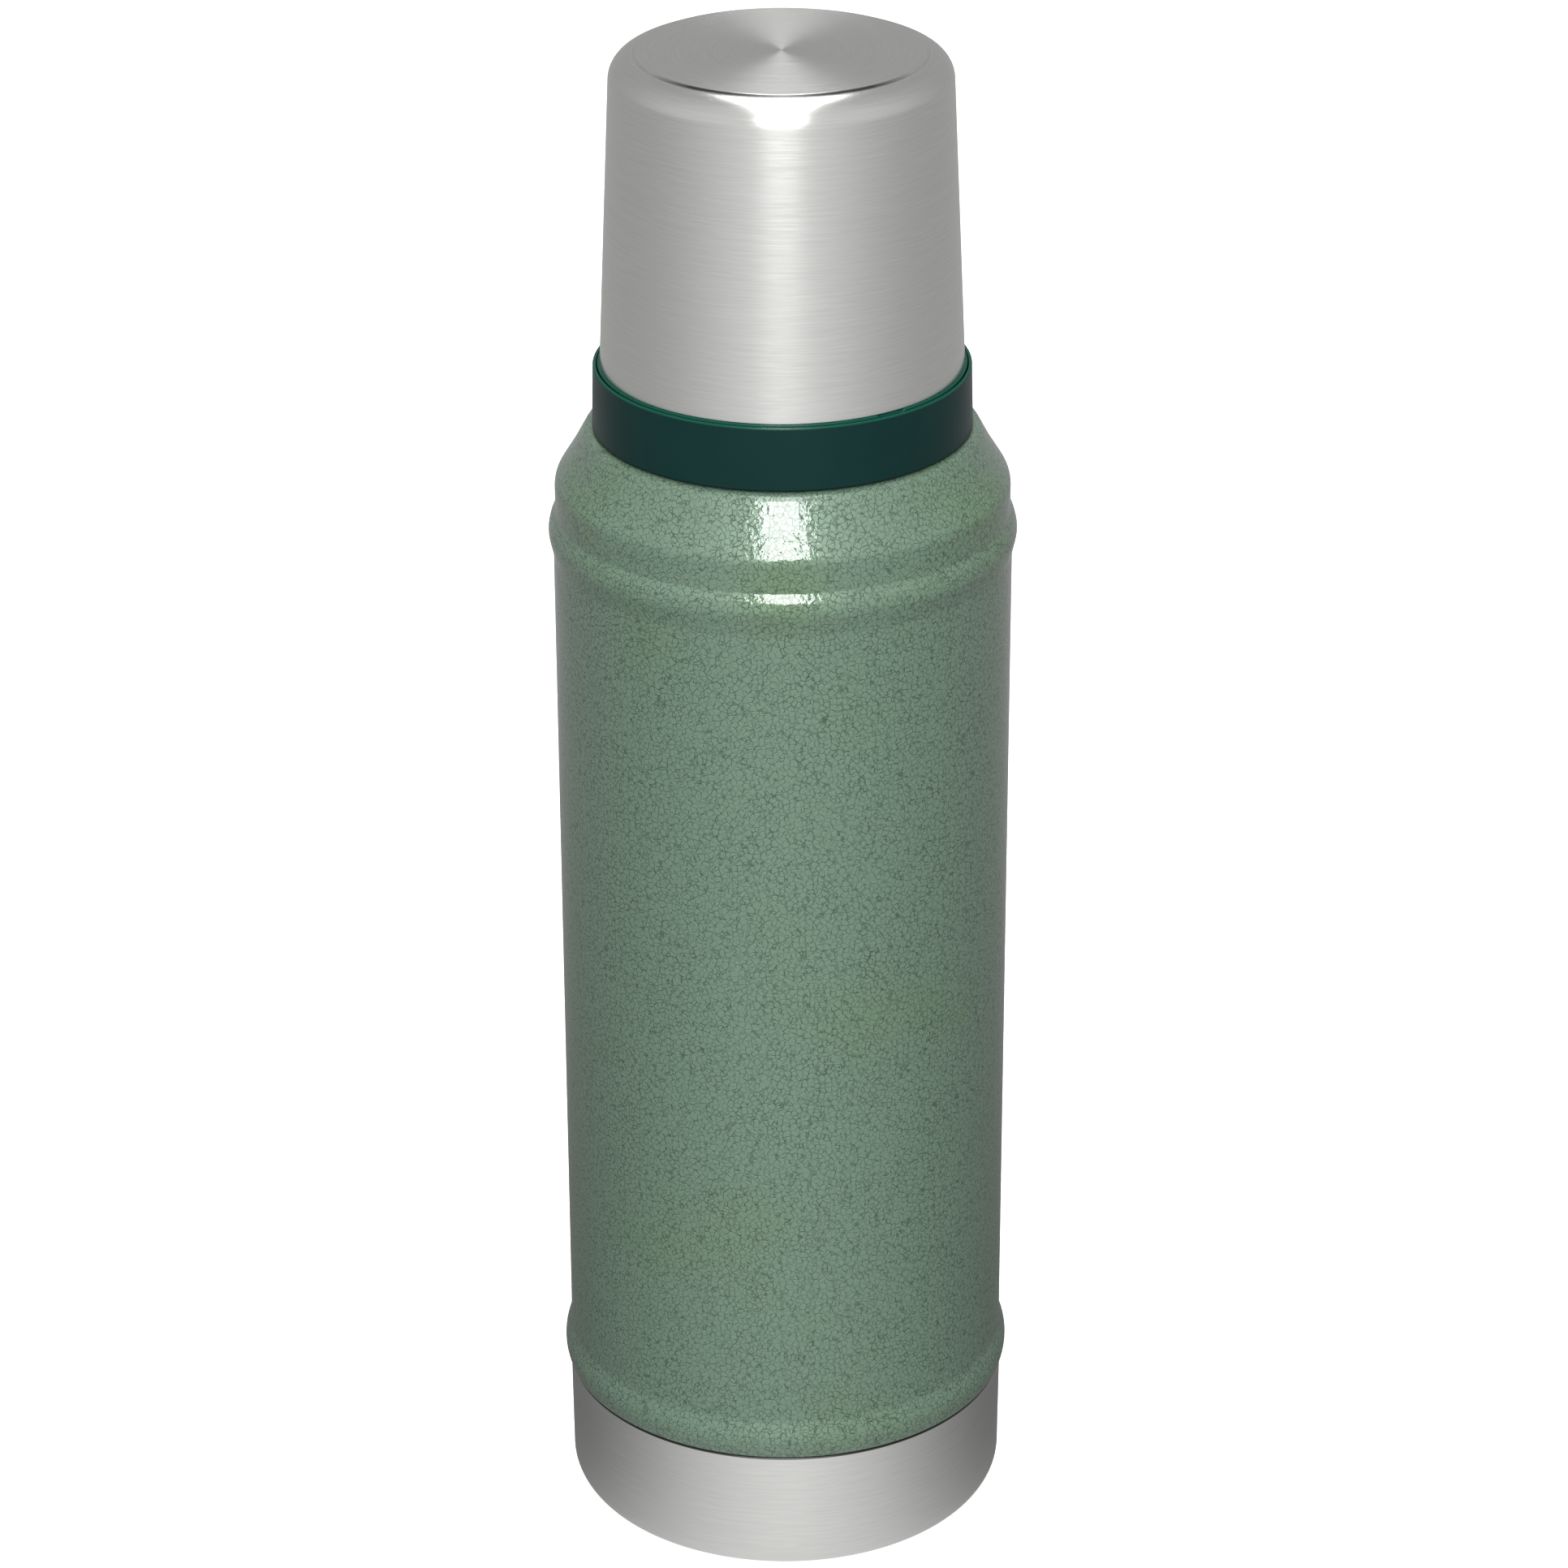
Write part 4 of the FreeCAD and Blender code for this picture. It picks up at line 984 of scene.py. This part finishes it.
class FLASK_OT_inner_vessel(bpy.types.Operator):
    """Inner vessel and what lies in the jacket: floors, foil, getter, exhaust plug and pad"""
    bl_idname = "flask.inner_vessel"
    bl_label = "Inner Vessel"

    def execute(self, context):
        size, thread = context.scene.flask_vessel, context.scene.flask_threads
        wall, neck = context.scene.flask_shell.wall, context.scene.flask_shell.neck_radius
        foot, lip = low("inner_neck"), high("inner_neck")
        vessel, bore, seat = reach("inner_vessel"), size.bore_radius, size.seat_radius
        seat_top = lip - size.seat_depth
        seat_foot = seat_top - size.seat_height
        throat_foot = seat_foot - size.throat_height
        shoulder = throat_foot - size.slope
        mesh = bmesh.new()
        spin(mesh, rounded([
            (vessel, foot),
            (vessel, shoulder, size.shoulder_round),
            (seat + wall, throat_foot, size.throat_round),
            (seat + wall, seat_foot),
            (bore + wall, seat_top),
            (bore + wall, lip - wall),
            (neck, lip - wall, size.lip_round),
            (neck, lip, size.lip_round),
            (bore, lip, size.mouth_round),
            (bore, seat_top + wall / 2, size.seat_round),
            (seat, seat_foot + wall / 2, size.seat_round),
            (seat, throat_foot - wall, size.throat_round + wall),
            (vessel - wall, shoulder - wall, size.shoulder_round - wall),
            (vessel - wall, foot),
        ]))
        ridge(mesh, bore, bore - thread.neck_depth, low("stopper_lower_seal") + thread.neck_start,
              thread.neck_rise, thread.stopper_lead, thread.neck_root, thread.neck_crest)
        finish_piece("vessel_neck_steel", mesh, "bottle", ("inner_neck",),
                     finish_named("bare_steel"))
        dress(("inner_vessel", "inner_bottom", "outer_bottom", "getter_clip"),
              finish_named("bare_steel"))
        dress(("radiation_foil",), finish_named("copper_foil"))
        dress(("getter",), finish_named("getter_metal"))
        dress(("exhaust_seal",), finish_named("solder"))
        dress(("base_pad",), finish_named("foam"))
        return {"FINISHED"}


class FLASK_OT_stage(bpy.types.Operator):
    """Pale floor, softbox, strips overhead and behind, room light and camera"""
    bl_idname = "flask.stage"
    bl_label = "Stage"

    def floor(self, scene, stage):
        mesh = bmesh.new()
        bmesh.ops.create_circle(mesh, cap_ends=True, segments=128, radius=stage.floor_radius)
        data = bpy.data.meshes.new("floor")
        mesh.to_mesh(data)
        mesh.free()
        floor = bpy.data.objects.new("floor", data)
        scene.collection.objects.link(floor)
        material, shader = new_material("pale_floor", (stage.floor_tone,) * 3, 0.8)
        tree = material.node_tree
        flat = add_node(material, "ShaderNodeVectorMath", {
            0: object_place(material), 1: (1, 1, 0)}, operation="MULTIPLY").outputs[0]
        way = add_node(material, "ShaderNodeVectorMath", {0: flat}, operation="NORMALIZE").outputs[0]
        behind = add_node(material, "ShaderNodeSeparateXYZ", {"Vector": way}).outputs["Y"]
        ahead = math_node(material, "POWER", remap(material, behind, -1, 1, 1, 0), 4)
        away = add_node(material, "ShaderNodeVectorMath", {0: flat}, operation="LENGTH")
        rear = remap(material, away.outputs["Value"], stage.shade_near, stage.shade_far,
                     stage.floor_shade, stage.floor_back)
        gain = math_node(material, "SUBTRACT", stage.floor_front, rear)
        bounce = add_node(material, "ShaderNodeEmission", {
            "Strength": math_node(material, "ADD", rear, math_node(material, "MULTIPLY", ahead, gain))})
        glow = add_node(material, "ShaderNodeEmission", {"Strength": stage.floor_glow})
        bright = add_node(material, "ShaderNodeAddShader", {0: shader.outputs[0], 1: glow.outputs[0]})
        seen = add_node(material, "ShaderNodeLightPath").outputs["Is Camera Ray"]
        both = add_node(material, "ShaderNodeMixShader", {
            0: seen, 1: bounce.outputs[0], 2: bright.outputs[0]})
        tree.links.new(both.outputs[0], tree.nodes["Material Output"].inputs["Surface"])
        data.materials.append(material)

    def softbox(self, scene, name, target, azimuth, elevation, distance, width, height, power):
        light = bpy.data.lights.new(name, "AREA")
        light.shape = "RECTANGLE"
        light.size = width
        light.size_y = height
        light.energy = power
        away = Vector((math.sin(azimuth) * math.cos(elevation),
                       -math.cos(azimuth) * math.cos(elevation), math.sin(elevation)))
        box = bpy.data.objects.new(name, light)
        box.location = target + away * distance
        box.rotation_euler = away.to_track_quat("Z", "Y").to_euler()
        scene.collection.objects.link(box)

    def room(self, scene):
        stage = scene.flask_stage
        world = bpy.data.worlds.new("room")
        world.use_nodes = True
        tree = world.node_tree
        back = tree.nodes["Background"]
        place = tree.nodes.new("ShaderNodeTexCoord")
        split = tree.nodes.new("ShaderNodeSeparateXYZ")
        tree.links.new(place.outputs["Generated"], split.inputs[0])
        turn = tree.nodes.new("ShaderNodeMapRange")
        turn.interpolation_type = "SMOOTHSTEP"
        turn.inputs["From Min"].default_value = 0.9
        turn.inputs["From Max"].default_value = -1.0
        turn.inputs["To Min"].default_value = stage.room_back
        turn.inputs["To Max"].default_value = stage.room_front
        tree.links.new(split.outputs["Y"], turn.inputs["Value"])
        tree.links.new(turn.outputs["Result"], back.inputs["Strength"])
        back.inputs["Color"].default_value = (1, 1, 1, 1)
        scene.world = world

    def camera(self, scene):
        stage = scene.flask_stage
        data = bpy.data.cameras.new("camera")
        data.lens = stage.lens
        data.sensor_width = SENSOR_WIDTH
        data.shift_x = stage.shift
        camera = bpy.data.objects.new("camera", data)
        pitch = Matrix.Rotation(math.pi / 2 - stage.camera_pitch, 4, "X")
        roll = Matrix.Rotation(stage.camera_roll, 4, "Z")
        place = Matrix.Translation((0, -stage.camera_distance, stage.camera_height))
        camera.matrix_world = place @ pitch @ roll
        scene.collection.objects.link(camera)
        scene.camera = camera

    def execute(self, context):
        scene = context.scene
        stage = scene.flask_stage
        shoulder = Vector((0, 0, low("collar_gasket")))
        self.floor(scene, stage)
        self.softbox(scene, "softbox", shoulder, 0, stage.key_elevation, stage.key_distance,
                     stage.key_width, stage.key_height, stage.key)
        self.softbox(scene, "top_strip", shoulder, 0, math.pi / 2, stage.top_distance,
                     stage.top_width, stage.top_length, stage.top)
        self.softbox(scene, "rear_strip", shoulder, math.pi, stage.rear_elevation, stage.rear_distance,
                     stage.rear_width, stage.rear_height, stage.rear)
        self.room(scene)
        self.camera(scene)
        scene.view_settings.view_transform = "Standard"
        return {"FINISHED"}


class FLASK_PT_flask(bpy.types.Panel):
    """The flask's pieces, in the order they are made"""
    bl_label = "Vacuum Flask"
    bl_idname = "FLASK_PT_flask"
    bl_space_type = "VIEW_3D"
    bl_region_type = "UI"
    bl_category = "Flask"

    def draw(self, context):
        for operator in OPERATORS:
            self.layout.operator(operator.bl_idname)


OPERATORS = (
    FLASK_OT_painted_shell, FLASK_OT_base_cup, FLASK_OT_neck_collar, FLASK_OT_drinking_cup,
    FLASK_OT_stopper, FLASK_OT_inner_vessel, FLASK_OT_stage,
)
SETTINGS = {
    "flask_shell": FlaskShellSizes,
    "flask_base": FlaskBaseSizes,
    "flask_collar": FlaskCollarSizes,
    "flask_threads": FlaskThreadSizes,
    "flask_cup": FlaskCupSizes,
    "flask_stopper": FlaskStopperSizes,
    "flask_vessel": FlaskVesselSizes,
    "flask_finishes": FlaskFinishes,
    "flask_stage": FlaskStage,
}
CLASSES = (*SETTINGS.values(), *OPERATORS, FLASK_PT_flask)


def register():
    for item in CLASSES:
        bpy.utils.register_class(item)
    for name, group in SETTINGS.items():
        setattr(bpy.types.Scene, name, PointerProperty(type=group))


def unregister():
    for name in SETTINGS:
        delattr(bpy.types.Scene, name)
    for item in reversed(CLASSES):
        bpy.utils.unregister_class(item)


def main():
    register()
    bpy.ops.flask.painted_shell()
    bpy.ops.flask.base_cup()
    bpy.ops.flask.neck_collar()
    bpy.ops.flask.drinking_cup()
    bpy.ops.flask.stopper()
    bpy.ops.flask.inner_vessel()
    bpy.ops.flask.stage()


if __name__ == "__main__":
    main()
